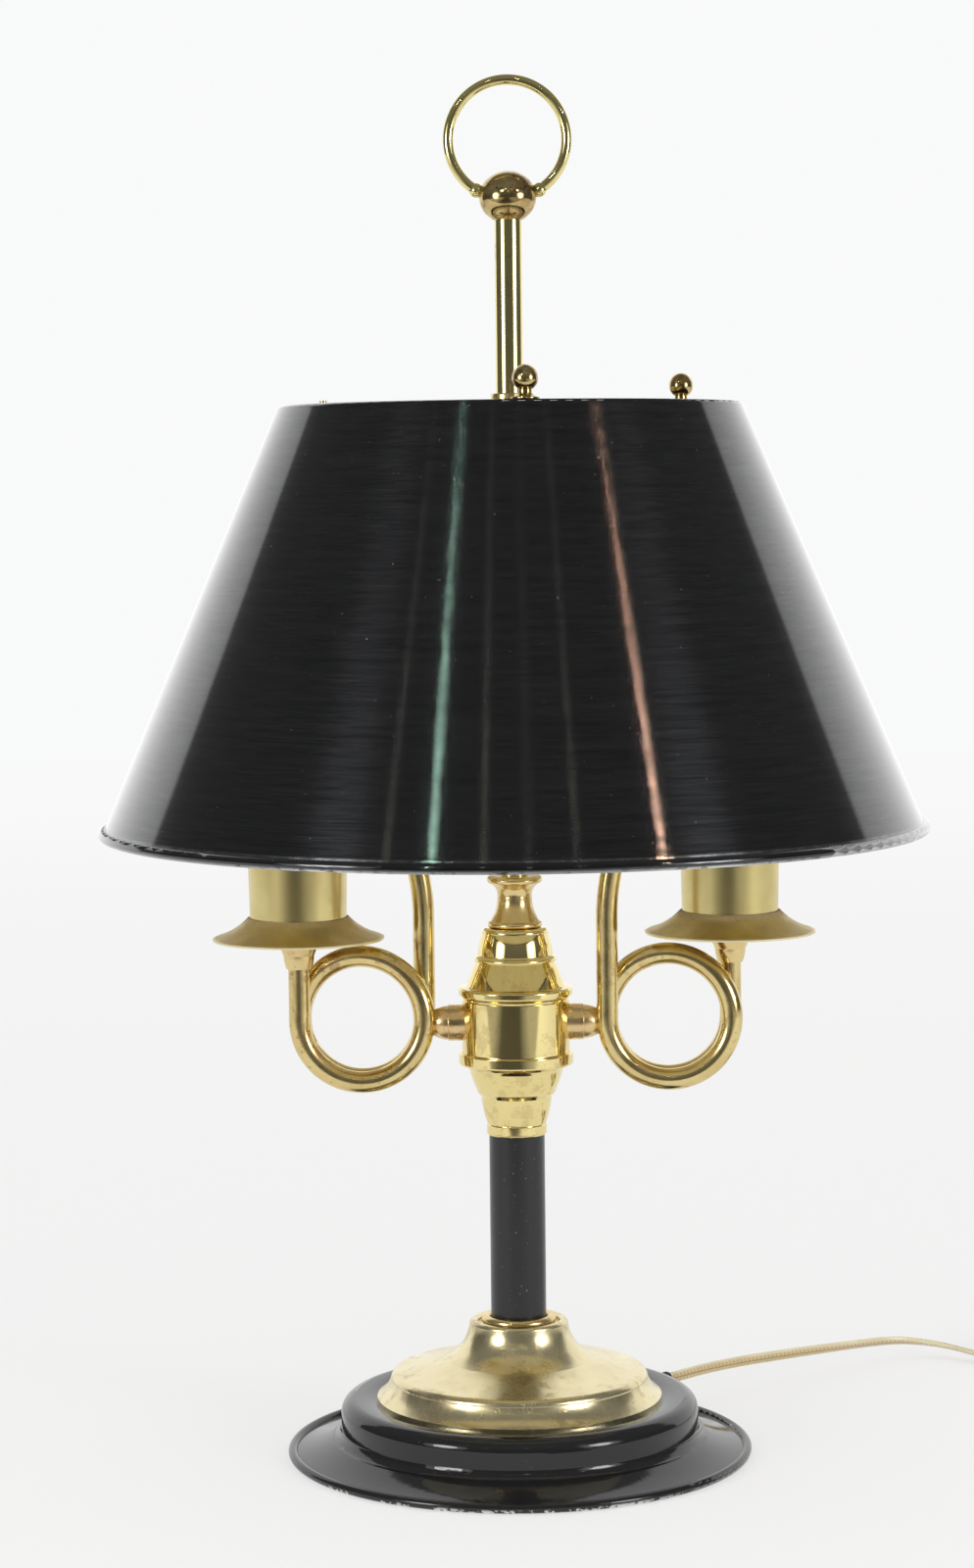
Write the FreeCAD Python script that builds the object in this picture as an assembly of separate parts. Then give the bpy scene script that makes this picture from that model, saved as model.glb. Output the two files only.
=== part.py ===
import FreeCAD, Part
import math
import os

# Bouillotte table lamp with two hunting-horn arms. Millimetres, +Z up, origin on the
# table at the centre of the base. The arms lie along X and the front is -Y.

# Base: felt, spun pan with a rolled rim, weight, brass cap
felt_thickness = 2.0
felt_radius = 92.0
rim_radius = 100.0
rim_wire = 4.0
rim_lift = 0.4
pan_wall = 1.0
dish_rise = 5.4
foot_cove = 4.0
drum_radius = 77.0
drum_height = 25.0
drum_shoulder = 6.0
seat_height = 24.0
cap_radius = 61.3
cap_edge = 1.4
cap_step_radius = 55.4
cap_step_height = 12.0
cap_sweep_radius = 32.0
cap_sweep_height = 17.6
cap_neck_radius = 21.2
cap_neck_height = 34.7
cap_wall = 1.0
neck_recess_radius = 17.4
neck_recess_depth = 2.4
foot_ring_wire = 4.2
weight_gap = 0.3
weight_recess_radius = 13.0
weight_recess_depth = 9.7
cord_channel_width = 9.0

# Centre pipe and its nut
pipe_radius = 4.9
pipe_wall = 1.4
thread_clearance = 0.05
nut_flats = 14.2
nut_thickness = 4.0
washer_radius = 11.0
washer_thickness = 1.2
pipe_tail = 2.3

# Stem and turned body
stem_radius = 11.9
stem_wall = 1.4
collar_height = 139.0
collar_radius = 12.9
collar_length = 5.2
stem_socket = 2.6
bowl_height = 156.4
bowl_foot_radius = 13.1
bowl_radius = 15.2
bowl_bulge_radius = 16.6
bowl_top_radius = 20.9
flange_radius = 24.6
flange_height = 169.0
flange_thickness = 5.6
shell_wall = 1.6
body_radius = 23.1
body_wall = 1.8
body_seat = 172.0
body_top = 197.0
cap_spigot = 1.3
crown_radius = 20.6
crown_height = 204.4
crown_step_height = 214.8
crown_step_radius = 16.9
crown_neck_radius = 16.1
crown_lip_radius = 13.9
crown_top = 228.2
spool_radius = 11.4
spool_waist = 7.4
spool_height = 22.2
spool_flange = 3.4

# Rod, ball and ring handle
rod_radius = 5.8
rod_wall = 0.8
rod_seat = 6.0
ball_radius = 12.1
ball_half_height = 11.0
ball_height = 537.1
ring_wire = 4.4
ring_radius = 24.9
ring_height = 561.1
ring_end_angle = 58.5
ring_peg = 3.6
ring_bead = 3.1

# Horn arms
arm_spacing = 65.7
stub_rise = 15.2
stub_height = body_seat + stub_rise
loop_radius = 26.6
loop_rise = 2.0
loop_height = stub_height + loop_rise
horn_radius = 4.6
coil_gap = 0.5
horn_drop = 12.5
mouth_rise = 42.8
mouth_bend_height = loop_height + mouth_rise
mouth_bend_radius = 100.0
mouth_bend_angle = 27.5
mouth_length = 9.0
mouth_radius = 7.0
mouth_dish = 2.6
stub_radius = 7.7
stub_seam = 0.4
stub_collar = 6.0
stub_tip_radius = 4.2
stub_tip = 37.0
stub_shank_inside = 9.2

# Drip pan, candle cup and socket on each arm
ferrule_drop = 22.2
ferrule_foot_radius = 5.4
ferrule_waist_radius = 6.6
ferrule_waist_drop = 16.4
ferrule_top_radius = 10.5
pan_rise = 44.8
pan_height = loop_height + pan_rise
pan_sheet = 0.8
drip_radius = 36.6
drip_drop = 8.6
cup_radius = 20.6
cup_flare = 0.6
cup_height = 30.0
cup_wall = 0.8
cup_floor = 1.0
cup_nut_thickness = 3.5
nipple_wall = 1.4
socket_gap = 0.5
socket_cap_height = 13.0
socket_radius = 17.0
socket_wall = 0.7
socket_height = 57.0
socket_block_height = 37.0
liner_wall = 1.1
screw_radius = 13.35
screw_wall = 0.4
contact_radius = 3.2
contact_height = 2.4
knob_height = 31.0
knob_shaft_radius = 1.6
knob_shaft_depth = 9.0
knob_offset = 5.0
knob_radius = 5.2
knob_length = 12.0
fit_clearance = 0.05

# Shade, spider, ball nuts and clamp
shade_height = 179.0
shade_bottom = 271.5
shade_bottom_radius = 174.5
shade_top_radius = 98.3
shade_sheet = 0.8
shade_bead = 4.4
shade_lip_width = 18.3
shade_edge_round = 1.6
stud_circle_radius = 90.0
stud_radius = 1.6
stud_rise = 3.2
stud_hole_radius = 1.9
spider_turn = 3.5
spider_bar_width = 8.0
spider_bar_thickness = 1.8
spider_pad_radius = 6.0
hub_radius = 7.9
hub_rise = 4.6
hub_length = 17.0
ball_nut_radius = 5.2
ball_nut_saucer = 5.6
ball_nut_neck = 2.7
ball_nut_step = 0.9
ball_nut_neck_rise = 2.7
stud_end_gap = 0.5
ball_nut_centre = 8.6
slide_clearance = 0.06
collar_gap = 0.1
clamp_radius = 8.8
clamp_length = 14.0
screw_shank_radius = 2.0
screw_head_radius = 6.4
screw_head_length = 4.6
screw_stand_off = 1.2

# Cord: flat two-core lead, its free run, coil, tail, tie and plug
cord_width = 5.6
bushing_height = 13.0
bushing_angle = 47.0
bushing_hole_radius = 4.6
bushing_flange_radius = 6.6
bushing_flange = 1.6
bushing_length = 20.0
bushing_tip_radius = 3.4
cord_points = [
    (76.9, 82.5, 13.0),
    (88.7, 95.0, 12.7),
    (105.0, 109.3, 12.1),
    (126.5, 124.6, 11.4),
    (151.5, 142.6, 10.2),
    (178.5, 161.5, 8.6),
    (192.6, 163.4, 7.2),
    (206.2, 159.2, 5.7),
    (216.6, 149.8, 4.6),
]
coil_lead_in = 36.0
coil_heading = -42.0
coil_turns = 7.02
coil_inner_radius = 24.0
coil_turn_gap = 0.45
tie_thickness = 0.7
tie_width = 6.0
tie_clearance = 0.35
tie_angle = 60.0
tail_length = 26.0
plug_length = 30.0
plug_width = 23.0
plug_thickness = 19.4
plug_neck_length = 10.0
plug_neck_radius = 4.2
blade_width = 6.4
blade_thickness = 1.5
blade_length = 17.0
blade_spacing = 12.7

quarter_turn = math.tan(math.pi / 8)
up = FreeCAD.Vector(0, 0, 1)
origin = FreeCAD.Vector(0, 0, 0)


def vec(x, y, z):
    return FreeCAD.Vector(x, y, z)


def sides(start, steps):
    """Edges of an outline in (radius, height). A step (r, z) is a straight side and
    (r, z, bulge) an arc; bulge is the tangent of a quarter of its angle, left positive."""
    edges = []
    here = start
    for step in steps:
        there = step[:2]
        a = vec(here[0], 0, here[1])
        b = vec(there[0], 0, there[1])
        if len(step) == 2:
            edges.append(Part.LineSegment(a, b).toShape())
        else:
            left = vec(here[1] - there[1], 0, there[0] - here[0])
            middle = (a + b) * 0.5 + left * (step[2] * 0.5)
            edges.append(Part.Arc(a, middle, b).toShape())
        here = there
    return edges


def lathe(start, *steps):
    """Solid turned about Z from a closed outline, closed by a straight side if open."""
    if tuple(steps[-1][:2]) != tuple(start):
        steps = steps + (start,)
    face = Part.Face(Part.Wire(sides(start, steps)))
    return face.revolve(origin, up, 360)


def spun(wall, start, *steps):
    """Sheet of one thickness turned about Z; the sheet lies to the right of the outline."""
    outline = Part.Wire(sides(start, steps))
    band = outline.makeOffset2D(-wall, 0, True, True)
    return band.Faces[0].revolve(origin, up, 360)


def dome(radius, rise):
    """Bulge of the round cap that closes an outline on the axis."""
    return -math.tan(math.atan2(rise, radius) / 2)


def disc(radius, low, high, bore=0.0):
    solid = Part.makeCylinder(radius, high - low, vec(0, 0, low))
    if bore:
        solid = solid.cut(Part.makeCylinder(bore, high - low, vec(0, 0, low)))
    return solid


def hex_nut(flats, bore, low, high):
    corners = [vec(flats / math.sqrt(3) * math.cos(math.radians(60 * k)),
                   flats / math.sqrt(3) * math.sin(math.radians(60 * k)), low) for k in range(7)]
    nut = Part.Face(Part.makePolygon(corners)).extrude(vec(0, 0, high - low))
    return nut.cut(Part.makeCylinder(bore, high - low, vec(0, 0, low)))


def turned(shape, axis, degrees):
    copy = shape.copy()
    copy.rotate(origin, axis, degrees)
    return copy


def moved(shape, x, y, z=0.0):
    copy = shape.copy()
    copy.translate(vec(x, y, z))
    return copy


def along_x(shape):
    """Lay a piece that is modelled about Z along +X."""
    return turned(shape, vec(0, 1, 0), 90)


def arc_through(a, corner, b):
    """Arc that leaves a towards the corner and reaches b, both equally far from it."""
    chord = (a + b) * 0.5
    half = (b - a).Length / 2
    rise = (corner - chord).Length
    if rise < 1e-6:
        return Part.LineSegment(a, b).toShape()
    sagitta = half * math.tan(math.atan2(rise, half) / 2)
    middle = chord + (corner - chord) * (sagitta / rise)
    return Part.Arc(a, middle, b).toShape()


def biarc(a, a_way, b, b_way):
    """Two tangent arcs from a to b that start and end in the given directions."""
    span = b - a
    both = a_way + b_way
    slack = 2 * (1 - a_way.dot(b_way))
    if slack < 1e-9:
        reach = span.Length / 4
    else:
        lean = span.dot(both)
        reach = (math.sqrt(lean * lean + slack * span.dot(span)) - lean) / slack
    first = a + a_way * reach
    second = b - b_way * reach
    joint = (first + second) * 0.5
    return [arc_through(a, first, joint), arc_through(joint, second, b)]


def swept(edges, radius, start, way):
    """Round tube along a path of tangent edges."""
    path = Part.Wire(edges)
    ring = Part.Wire([Part.makeCircle(radius, start, way)])
    return path.makePipeShell([ring], True, False)


def cable_edges(points):
    """Straight runs joined by tangent arcs, each as large as its two runs allow."""
    edges = []
    here = points[0]
    radii = []
    for before, corner, after in zip(points, points[1:], points[2:]):
        into = (corner - before).normalize()
        out = (after - corner).normalize()
        shorter = min((corner - before).Length, (after - corner).Length)
        turn = into.getAngle(out)
        cut_back = 0.45 * shorter
        radii.append(cut_back / math.tan(turn / 2))
        a = corner - into * cut_back
        b = corner + out * cut_back
        edges.append(Part.LineSegment(here, a).toShape())
        edges.append(arc_through(a, corner, b))
        here = b
    edges.append(Part.LineSegment(here, points[-1]).toShape())
    return edges, radii


nodes = {}

# Base
felt_top = felt_thickness
nodes["felt_pad"] = disc(felt_radius, 0, felt_top)

bead_centre = rim_radius - rim_wire / 2
bead_height = rim_lift + rim_wire / 2
dish_edge = bead_centre - rim_wire / 2 + pan_wall / 2
dish_low = bead_height + pan_wall / 2
drum_foot = dish_low + dish_rise
pipe_hole = pipe_radius + thread_clearance
pan_sheet_solid = spun(
    pan_wall,
    (pipe_hole, seat_height),
    (cap_radius + 1.0, seat_height),
    (drum_radius - drum_shoulder, drum_height, 0.06),
    (drum_radius, drum_height - drum_shoulder, quarter_turn),
    (drum_radius, drum_foot + foot_cove),
    (drum_radius + foot_cove, drum_foot, -quarter_turn * 0.8),
    (dish_edge, dish_low, -0.06),
)
rim_bead = Part.makeTorus(bead_centre, rim_wire / 2, vec(0, 0, bead_height))
bushing_way = vec(math.cos(math.radians(bushing_angle)), math.sin(math.radians(bushing_angle)), 0)
bushing_hole = Part.makeCylinder(bushing_hole_radius + fit_clearance, drum_radius,
                                 bushing_way * (drum_radius / 2) + up * bushing_height, bushing_way)
drum_bore = disc(drum_radius + foot_cove / 2, 0, seat_height)
pan = pan_sheet_solid.fuse(rim_bead)
nodes["base_pan"] = pan.cut(bushing_hole.common(drum_bore)).removeSplitter()

weight_low = felt_top + weight_gap
weight_top = seat_height - pan_wall - weight_gap
weight_radius = drum_radius - pan_wall - drum_shoulder
recess_top = weight_low + weight_recess_depth
weight = disc(weight_radius, weight_low, weight_top, pipe_hole)
weight = weight.cut(disc(weight_recess_radius, weight_low, recess_top))
channel = Part.makeBox(weight_radius + 1, cord_channel_width,
                       bushing_height + cord_channel_width / 2 - weight_low,
                       vec(0, -cord_channel_width / 2, weight_low))
nodes["base_weight"] = weight.cut(turned(channel, up, bushing_angle))

nodes["base_washer"] = disc(washer_radius, recess_top - washer_thickness, recess_top, pipe_hole)
base_nut_top = recess_top - washer_thickness
nodes["base_nut"] = hex_nut(nut_flats, pipe_hole, base_nut_top - nut_thickness, base_nut_top)

cap_low = seat_height
cap_top = cap_low + cap_neck_height
recess_floor = cap_top - neck_recess_depth
lip_width = cap_neck_radius - neck_recess_radius
nodes["base_cap"] = lathe(
    (pipe_hole, recess_floor - cap_wall),
    (cap_neck_radius - cap_wall, recess_floor - cap_wall),
    (cap_sweep_radius - cap_wall, cap_low + cap_sweep_height - cap_wall, -0.26),
    (cap_step_radius - 3 * cap_wall, cap_low + cap_step_height - cap_wall, -0.05),
    (cap_step_radius - cap_wall, cap_low + cap_step_height - 3.4, 0.3),
    (cap_radius - cap_edge, cap_low, -0.16),
    (cap_radius, cap_low),
    (cap_radius, cap_low + cap_edge),
    (cap_step_radius, cap_low + cap_step_height - 3.0, 0.18),
    (cap_step_radius - 2.6, cap_low + cap_step_height, -0.36),
    (cap_sweep_radius, cap_low + cap_sweep_height, 0.05),
    (cap_neck_radius, cap_top - lip_width * 0.5, 0.26),
    (neck_recess_radius, cap_top - lip_width * 0.5, -0.95),
    (neck_recess_radius, recess_floor),
    (pipe_hole, recess_floor),
)

ring_centre = stem_radius + fit_clearance + foot_ring_wire / 2
ring_level = recess_floor + foot_ring_wire / 2
nodes["foot_ring"] = Part.makeTorus(ring_centre, foot_ring_wire / 2, vec(0, 0, ring_level))

# Stem and turned body
stem_low = recess_floor
stem_top = collar_height + stem_socket
nodes["stem_tube"] = disc(stem_radius, stem_low, stem_top, stem_radius - stem_wall)

flange_top = flange_height + flange_thickness
collar_top = collar_height + collar_length
stem_bore = stem_radius + fit_clearance
nodes["lower_cup"] = lathe(
    (stem_bore, collar_height),
    (collar_radius - 0.4, collar_height),
    (collar_radius, collar_height + 1.0, -0.3),
    (collar_radius, collar_top - 1.0),
    (bowl_foot_radius - 0.3, collar_top, 0.4),
    (bowl_radius, bowl_height - 1.0, -0.06),
    (bowl_bulge_radius - 0.6, bowl_height),
    (bowl_bulge_radius + 0.5, bowl_height + 2.0, -0.25),
    (bowl_top_radius - 0.8, flange_height - 2.2, -0.05),
    (bowl_top_radius, flange_height - 0.8),
    (flange_radius - 0.6, flange_height + 0.4, 0.1),
    (flange_radius, flange_height + 1.4, -0.3),
    (flange_radius, flange_top - 0.7),
    (flange_radius - 0.7, flange_top, -quarter_turn),
    (body_radius + fit_clearance, flange_top),
    (body_radius + fit_clearance, body_seat),
    (bowl_top_radius - shell_wall, body_seat),
    (bowl_radius - shell_wall, bowl_height),
    (bowl_foot_radius - shell_wall, stem_top + shell_wall),
    (pipe_hole, stem_top + shell_wall),
    (pipe_hole, stem_top),
    (stem_bore, stem_top),
)

arm_body = disc(body_radius, body_seat, body_top, body_radius - body_wall)
stub_bore = Part.makeCylinder(pipe_radius + fit_clearance, 2 * body_radius + 2,
                              vec(-body_radius - 1, 0, stub_height), vec(1, 0, 0))
nodes["arm_body"] = arm_body.cut(stub_bore)

nodes["upper_cap"] = lathe(
    (crown_radius - 3.2, body_top - cap_spigot),
    (body_radius - body_wall - fit_clearance, body_top - cap_spigot),
    (body_radius - body_wall - fit_clearance, body_top),
    (body_radius - 0.6, body_top),
    (flange_radius - 0.7, body_top + 2.0, 0.3),
    (flange_radius - 0.2, body_top + 3.0, -0.2),
    (flange_radius - 0.2, body_top + 4.6),
    (flange_radius - 1.0, body_top + 5.6, -quarter_turn),
    (crown_radius + 0.4, body_top + 6.2, 0.1),
    (crown_radius, crown_height),
    (crown_step_radius + 0.2, crown_step_height - 1.2, -0.02),
    (crown_step_radius + 0.1, crown_step_height + 0.9, -0.6),
    (crown_neck_radius, crown_step_height + 1.8, 0.2),
    (crown_lip_radius + 0.3, crown_top - 2.2, -0.04),
    (crown_lip_radius - 1.6, crown_top, -0.45),
    (pipe_hole, crown_top),
    (pipe_hole, crown_top - shell_wall),
    (crown_lip_radius - shell_wall, crown_top - shell_wall - 1.0),
    (crown_step_radius - shell_wall - 1.0, crown_step_height),
    (crown_radius - shell_wall - 1.6, crown_height),
)

spool_low = crown_top
spool_top = spool_low + spool_height
rod_low = spool_low + rod_seat
spool_mid = spool_low + spool_height * 0.58
nodes["neck_spool"] = lathe(
    (pipe_hole, spool_low),
    (spool_radius - 0.8, spool_low),
    (spool_radius - 0.8, spool_low + spool_flange - 0.8, -0.8),
    (spool_waist, spool_mid, 0.15),
    (spool_radius - 0.9, spool_top - spool_flange, 0.33),
    (spool_radius - 0.9, spool_top, -0.8),
    (rod_radius + fit_clearance, spool_top),
    (rod_radius + fit_clearance, rod_low),
    (pipe_hole, rod_low),
)

pipe_low = felt_top + pipe_tail
pipe_top = spool_top - 4.0
nodes["centre_pipe"] = disc(pipe_radius, pipe_low, pipe_top, pipe_radius - pipe_wall)

# Rod, ball and ring handle
rod_bore = rod_radius - rod_wall
ball_low = ball_height - ball_half_height
rod_top = ball_low + 4.0
nodes["rod"] = disc(rod_radius, rod_low, rod_top, rod_bore)

squash = FreeCAD.Matrix()
squash.scale(1, 1, ball_half_height / ball_radius)
ball = moved(Part.makeSphere(ball_radius).transformGeometry(squash), 0, 0, ball_height)
ball = ball.cut(disc(rod_radius + fit_clearance, ball_low - 1, rod_top))


def ring_shape(wire):
    """Open ring with a straight peg at each end and a brazing bead where it enters the ball."""
    ends = []
    for side in (-1, 1):
        angle = math.radians(270 + side * (90 - ring_end_angle))
        point = vec(ring_radius * math.cos(angle), 0, ring_height + ring_radius * math.sin(angle))
        inward = vec(-side * math.cos(math.radians(90 - ring_end_angle)), 0,
                     -math.sin(math.radians(90 - ring_end_angle)))
        ends.append((point, inward))
    (left, left_way), (right, right_way) = ends
    tip = left + left_way * ring_peg
    far_tip = right + right_way * ring_peg
    top = vec(0, 0, ring_height + ring_radius)
    edges = [Part.LineSegment(tip, left).toShape(),
             Part.Arc(left, top, right).toShape(),
             Part.LineSegment(right, far_tip).toShape()]
    shape = swept(edges, wire, tip, left_way * -1)
    for point, way in ends:
        bead = Part.makeSphere(ring_bead * wire * 2 / ring_wire, point - way * 0.3)
        shape = shape.fuse(bead)
    return shape.removeSplitter()


nodes["ball_finial"] = ball.cut(ring_shape(ring_wire / 2 + thread_clearance))
nodes["ring_handle"] = ring_shape(ring_wire / 2)

# Arms: the right one is modelled, and the left one is the same turned half round
half_coil = horn_radius + coil_gap / 2
outer_x = arm_spacing + loop_radius
inner_x = arm_spacing - loop_radius
loop_top = loop_height + math.hypot(loop_radius, half_coil)
bend = math.radians(mouth_bend_angle)
horn_top = pan_height - horn_drop
candle_end = vec(outer_x, half_coil, horn_top)
back_out = vec(outer_x, half_coil, loop_height)
back_in = vec(inner_x, half_coil, loop_height)
front_out = vec(outer_x, -half_coil, loop_height)
front_in = vec(inner_x, -half_coil, loop_height)
bend_start = vec(inner_x, -half_coil, mouth_bend_height)
bend_middle = bend_start + vec(mouth_bend_radius * (1 - math.cos(bend / 2)), 0,
                               mouth_bend_radius * math.sin(bend / 2))
mouth_end = bend_start + vec(mouth_bend_radius * (1 - math.cos(bend)), 0,
                             mouth_bend_radius * math.sin(bend))
horn_path = [
    Part.LineSegment(candle_end, back_out).toShape(),
    Part.Arc(back_out, vec(arm_spacing, half_coil, loop_height - loop_radius), back_in).toShape(),
    Part.Arc(back_in, vec(arm_spacing, 0, loop_top), front_out).toShape(),
    Part.Arc(front_out, vec(arm_spacing, -half_coil, loop_height - loop_radius), front_in).toShape(),
    Part.LineSegment(front_in, bend_start).toShape(),
    Part.Arc(bend_start, bend_middle, mouth_end).toShape(),
]
horn_tube = swept(horn_path, horn_radius, candle_end, up * -1)
mouthpiece = lathe(
    (0, 0),
    (horn_radius, 0),
    (horn_radius + 0.9, 0.6, -0.6),
    (horn_radius + 0.2, 2.0, -0.3),
    (mouth_radius - 0.8, mouth_length - 1.2, 0.2),
    (mouth_radius - 1.4, mouth_length, -0.9),
    (0, mouth_length - mouth_dish, dome(mouth_radius - 1.4, -mouth_dish)),
)
mouthpiece = moved(turned(mouthpiece, vec(0, 1, 0), mouth_bend_angle), mouth_end.x, mouth_end.y, mouth_end.z)
horn = horn_tube.fuse(mouthpiece)

stub = lathe(
    (0, 0),
    (stub_radius, 0),
    (stub_radius, body_radius + stub_collar - stub_seam),
    (stub_radius - stub_seam, body_radius + stub_collar, -quarter_turn),
    (stub_tip_radius, stub_tip, -0.16),
    (0, stub_tip),
)
stub = stub.cut(disc(2 * stub_radius, -1, body_radius * 0.5))
stub = moved(along_x(stub), 0, 0, stub_height)
stub = stub.cut(disc(body_radius, stub_height - 2 * stub_radius, stub_height + 2 * stub_radius))
shank_start = body_radius - stub_shank_inside
shank = Part.makeCylinder(pipe_radius, stub_shank_inside + stub_collar / 2,
                          vec(shank_start, 0, stub_height), vec(1, 0, 0))
stub = stub.fuse(shank).cut(horn_tube).removeSplitter()

nut_reach = math.sqrt((body_radius - body_wall) ** 2 - (nut_flats / math.sqrt(3)) ** 2) - weight_gap
arm_nut = hex_nut(nut_flats, pipe_hole, nut_reach - nut_thickness, nut_reach)
arm_nut = moved(along_x(arm_nut), 0, 0, stub_height)

pan_under = pan_height - pan_sheet
nipple_low = horn_top + weight_gap
ferrule_bottom = pan_height - ferrule_drop
ferrule = lathe(
    (horn_radius + fit_clearance, ferrule_bottom),
    (ferrule_foot_radius, ferrule_bottom),
    (ferrule_waist_radius, pan_height - ferrule_waist_drop, -0.08),
    (ferrule_top_radius, pan_under, -0.1),
    (pipe_hole, pan_under),
    (pipe_hole, nipple_low),
    (horn_radius + fit_clearance, nipple_low),
)
drip_rim = pan_height - drip_drop
bobeche = spun(
    pan_sheet,
    (pipe_hole, pan_height),
    (cup_radius + 1.0, pan_height),
    (drip_radius - 1.4, drip_rim + 0.4, -0.14),
    (drip_radius, drip_rim - 0.2, -0.1),
)
cup_top = pan_height + cup_height
candle_cup = lathe(
    (pipe_hole, pan_height),
    (cup_radius, pan_height),
    (cup_radius + cup_flare, cup_top),
    (cup_radius + cup_flare - cup_wall, cup_top),
    (cup_radius - cup_wall, pan_height + cup_floor),
    (pipe_hole, pan_height + cup_floor),
)
cup_nut_low = pan_height + cup_floor
cup_nut_top = cup_nut_low + cup_nut_thickness
cup_nut = hex_nut(nut_flats, pipe_hole, cup_nut_low, cup_nut_top)
socket_low = cup_nut_top + socket_gap
cap_rim = socket_low + socket_cap_height
nipple_top = socket_low + 4.5
cup_nipple = disc(pipe_radius, nipple_low, nipple_top, pipe_radius - nipple_wall)
socket_cap = lathe(
    (pipe_hole, socket_low),
    (pipe_hole + 2.4, socket_low),
    (pipe_hole + 2.4, socket_low + 4.0),
    (socket_radius, cap_rim - 2.5, -0.34),
    (socket_radius, cap_rim),
    (socket_radius - socket_wall, cap_rim),
    (socket_radius - socket_wall, cap_rim - 2.2),
    (pipe_hole + 1.8, socket_low + 5.0, 0.34),
    (pipe_hole, socket_low + 5.0),
)
socket_top = socket_low + socket_height
socket_shell = disc(socket_radius, cap_rim, socket_top, socket_radius - socket_wall)
liner_radius = socket_radius - socket_wall - fit_clearance
block_top = socket_low + socket_block_height
socket_core = lathe(
    (0, cap_rim + 0.2),
    (liner_radius, cap_rim + 0.2),
    (liner_radius, socket_top - 0.8),
    (liner_radius - liner_wall, socket_top - 0.8),
    (liner_radius - liner_wall, block_top),
    (0, block_top),
)
screw_low = block_top
screw_shell = disc(screw_radius + screw_wall, screw_low, socket_top - 2.0, screw_radius)
centre_contact = lathe(
    (0, block_top),
    (contact_radius, block_top),
    (contact_radius, block_top + contact_height / 2),
    (0, block_top + contact_height, dome(contact_radius, contact_height / 2)),
)
knob_axis = socket_low + knob_height
knob_start = socket_radius - knob_shaft_depth
knob_head = socket_radius + knob_offset
knob_end = knob_head + knob_length
knob = lathe(
    (0, knob_start),
    (knob_shaft_radius, knob_start),
    (knob_shaft_radius, knob_head),
    (knob_radius - 1.2, knob_head),
    (knob_radius - 0.6, knob_head + 0.8, -0.3),
    (knob_radius - 1.0, knob_head + knob_length * 0.5, 0.06),
    (knob_radius, knob_end - 1.6, 0.06),
    (knob_radius - 1.6, knob_end, -quarter_turn),
    (0, knob_end),
)
knob = moved(along_x(knob), 0, 0, knob_axis)
shaft_hole = Part.makeCylinder(knob_shaft_radius + fit_clearance, socket_radius + 1,
                               vec(knob_start - fit_clearance, 0, knob_axis), vec(1, 0, 0))
socket_shell = socket_shell.cut(shaft_hole)
socket_core = socket_core.cut(shaft_hole)

on_candle_end = {
    "cup_ferrule": ferrule,
    "bobeche": bobeche,
    "candle_cup": candle_cup,
    "cup_nut": cup_nut,
    "cup_nipple": cup_nipple,
    "socket_cap": socket_cap,
    "socket_shell": socket_shell,
    "socket_core": socket_core,
    "screw_shell": screw_shell,
    "centre_contact": centre_contact,
    "turn_knob": knob,
}
arm_pieces = {"horn": horn, "arm_stub": stub, "arm_nut": arm_nut}
for name, shape in on_candle_end.items():
    arm_pieces[name] = moved(shape, outer_x, half_coil)
for name, shape in arm_pieces.items():
    nodes[name + "_right"] = shape
    nodes[name + "_left"] = turned(shape, up, 180)

# Shade, spider, ball nuts and clamp
shade_top = shade_bottom + shade_height
lip_inner = shade_top_radius - shade_lip_width
cone = spun(
    shade_sheet,
    (lip_inner, shade_top),
    (shade_top_radius - shade_edge_round, shade_top),
    (shade_top_radius + 0.3, shade_top - shade_edge_round, 0.3),
    (shade_bottom_radius, shade_bottom),
)
shade_bead_ring = Part.makeTorus(shade_bottom_radius, shade_bead / 2, vec(0, 0, shade_bottom))
shade = cone.fuse(shade_bead_ring)
stud_angles = [270 + spider_turn, 30 + spider_turn, 150 + spider_turn]
bar_top = shade_top - shade_sheet
bar_low = bar_top - spider_bar_thickness
hub_top = shade_top + hub_rise
hub_low = hub_top - hub_length
hub_bore = rod_radius + slide_clearance
spider = lathe(
    (0, hub_low),
    (hub_radius, hub_low),
    (hub_radius, hub_top - 0.8),
    (hub_radius - 0.8, hub_top, -quarter_turn),
    (0, hub_top),
)
for angle in stud_angles:
    bar = Part.makeBox(stud_circle_radius, spider_bar_width, spider_bar_thickness,
                       vec(0, -spider_bar_width / 2, bar_low))
    pad = moved(disc(spider_pad_radius, bar_low, bar_top), stud_circle_radius, 0)
    stud = moved(disc(stud_radius, bar_low, shade_top + stud_rise), stud_circle_radius, 0)
    spider = spider.fuse(turned(bar.fuse(pad).fuse(stud), up, angle))
    hole = moved(disc(stud_hole_radius, bar_top - shade_sheet, shade_top + shade_sheet), stud_circle_radius, 0)
    shade = shade.cut(turned(hole, up, angle))
nodes["spider"] = spider.cut(disc(hub_bore, hub_low - hub_length, hub_top + hub_length)).removeSplitter()
nodes["shade"] = shade.removeSplitter()

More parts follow.
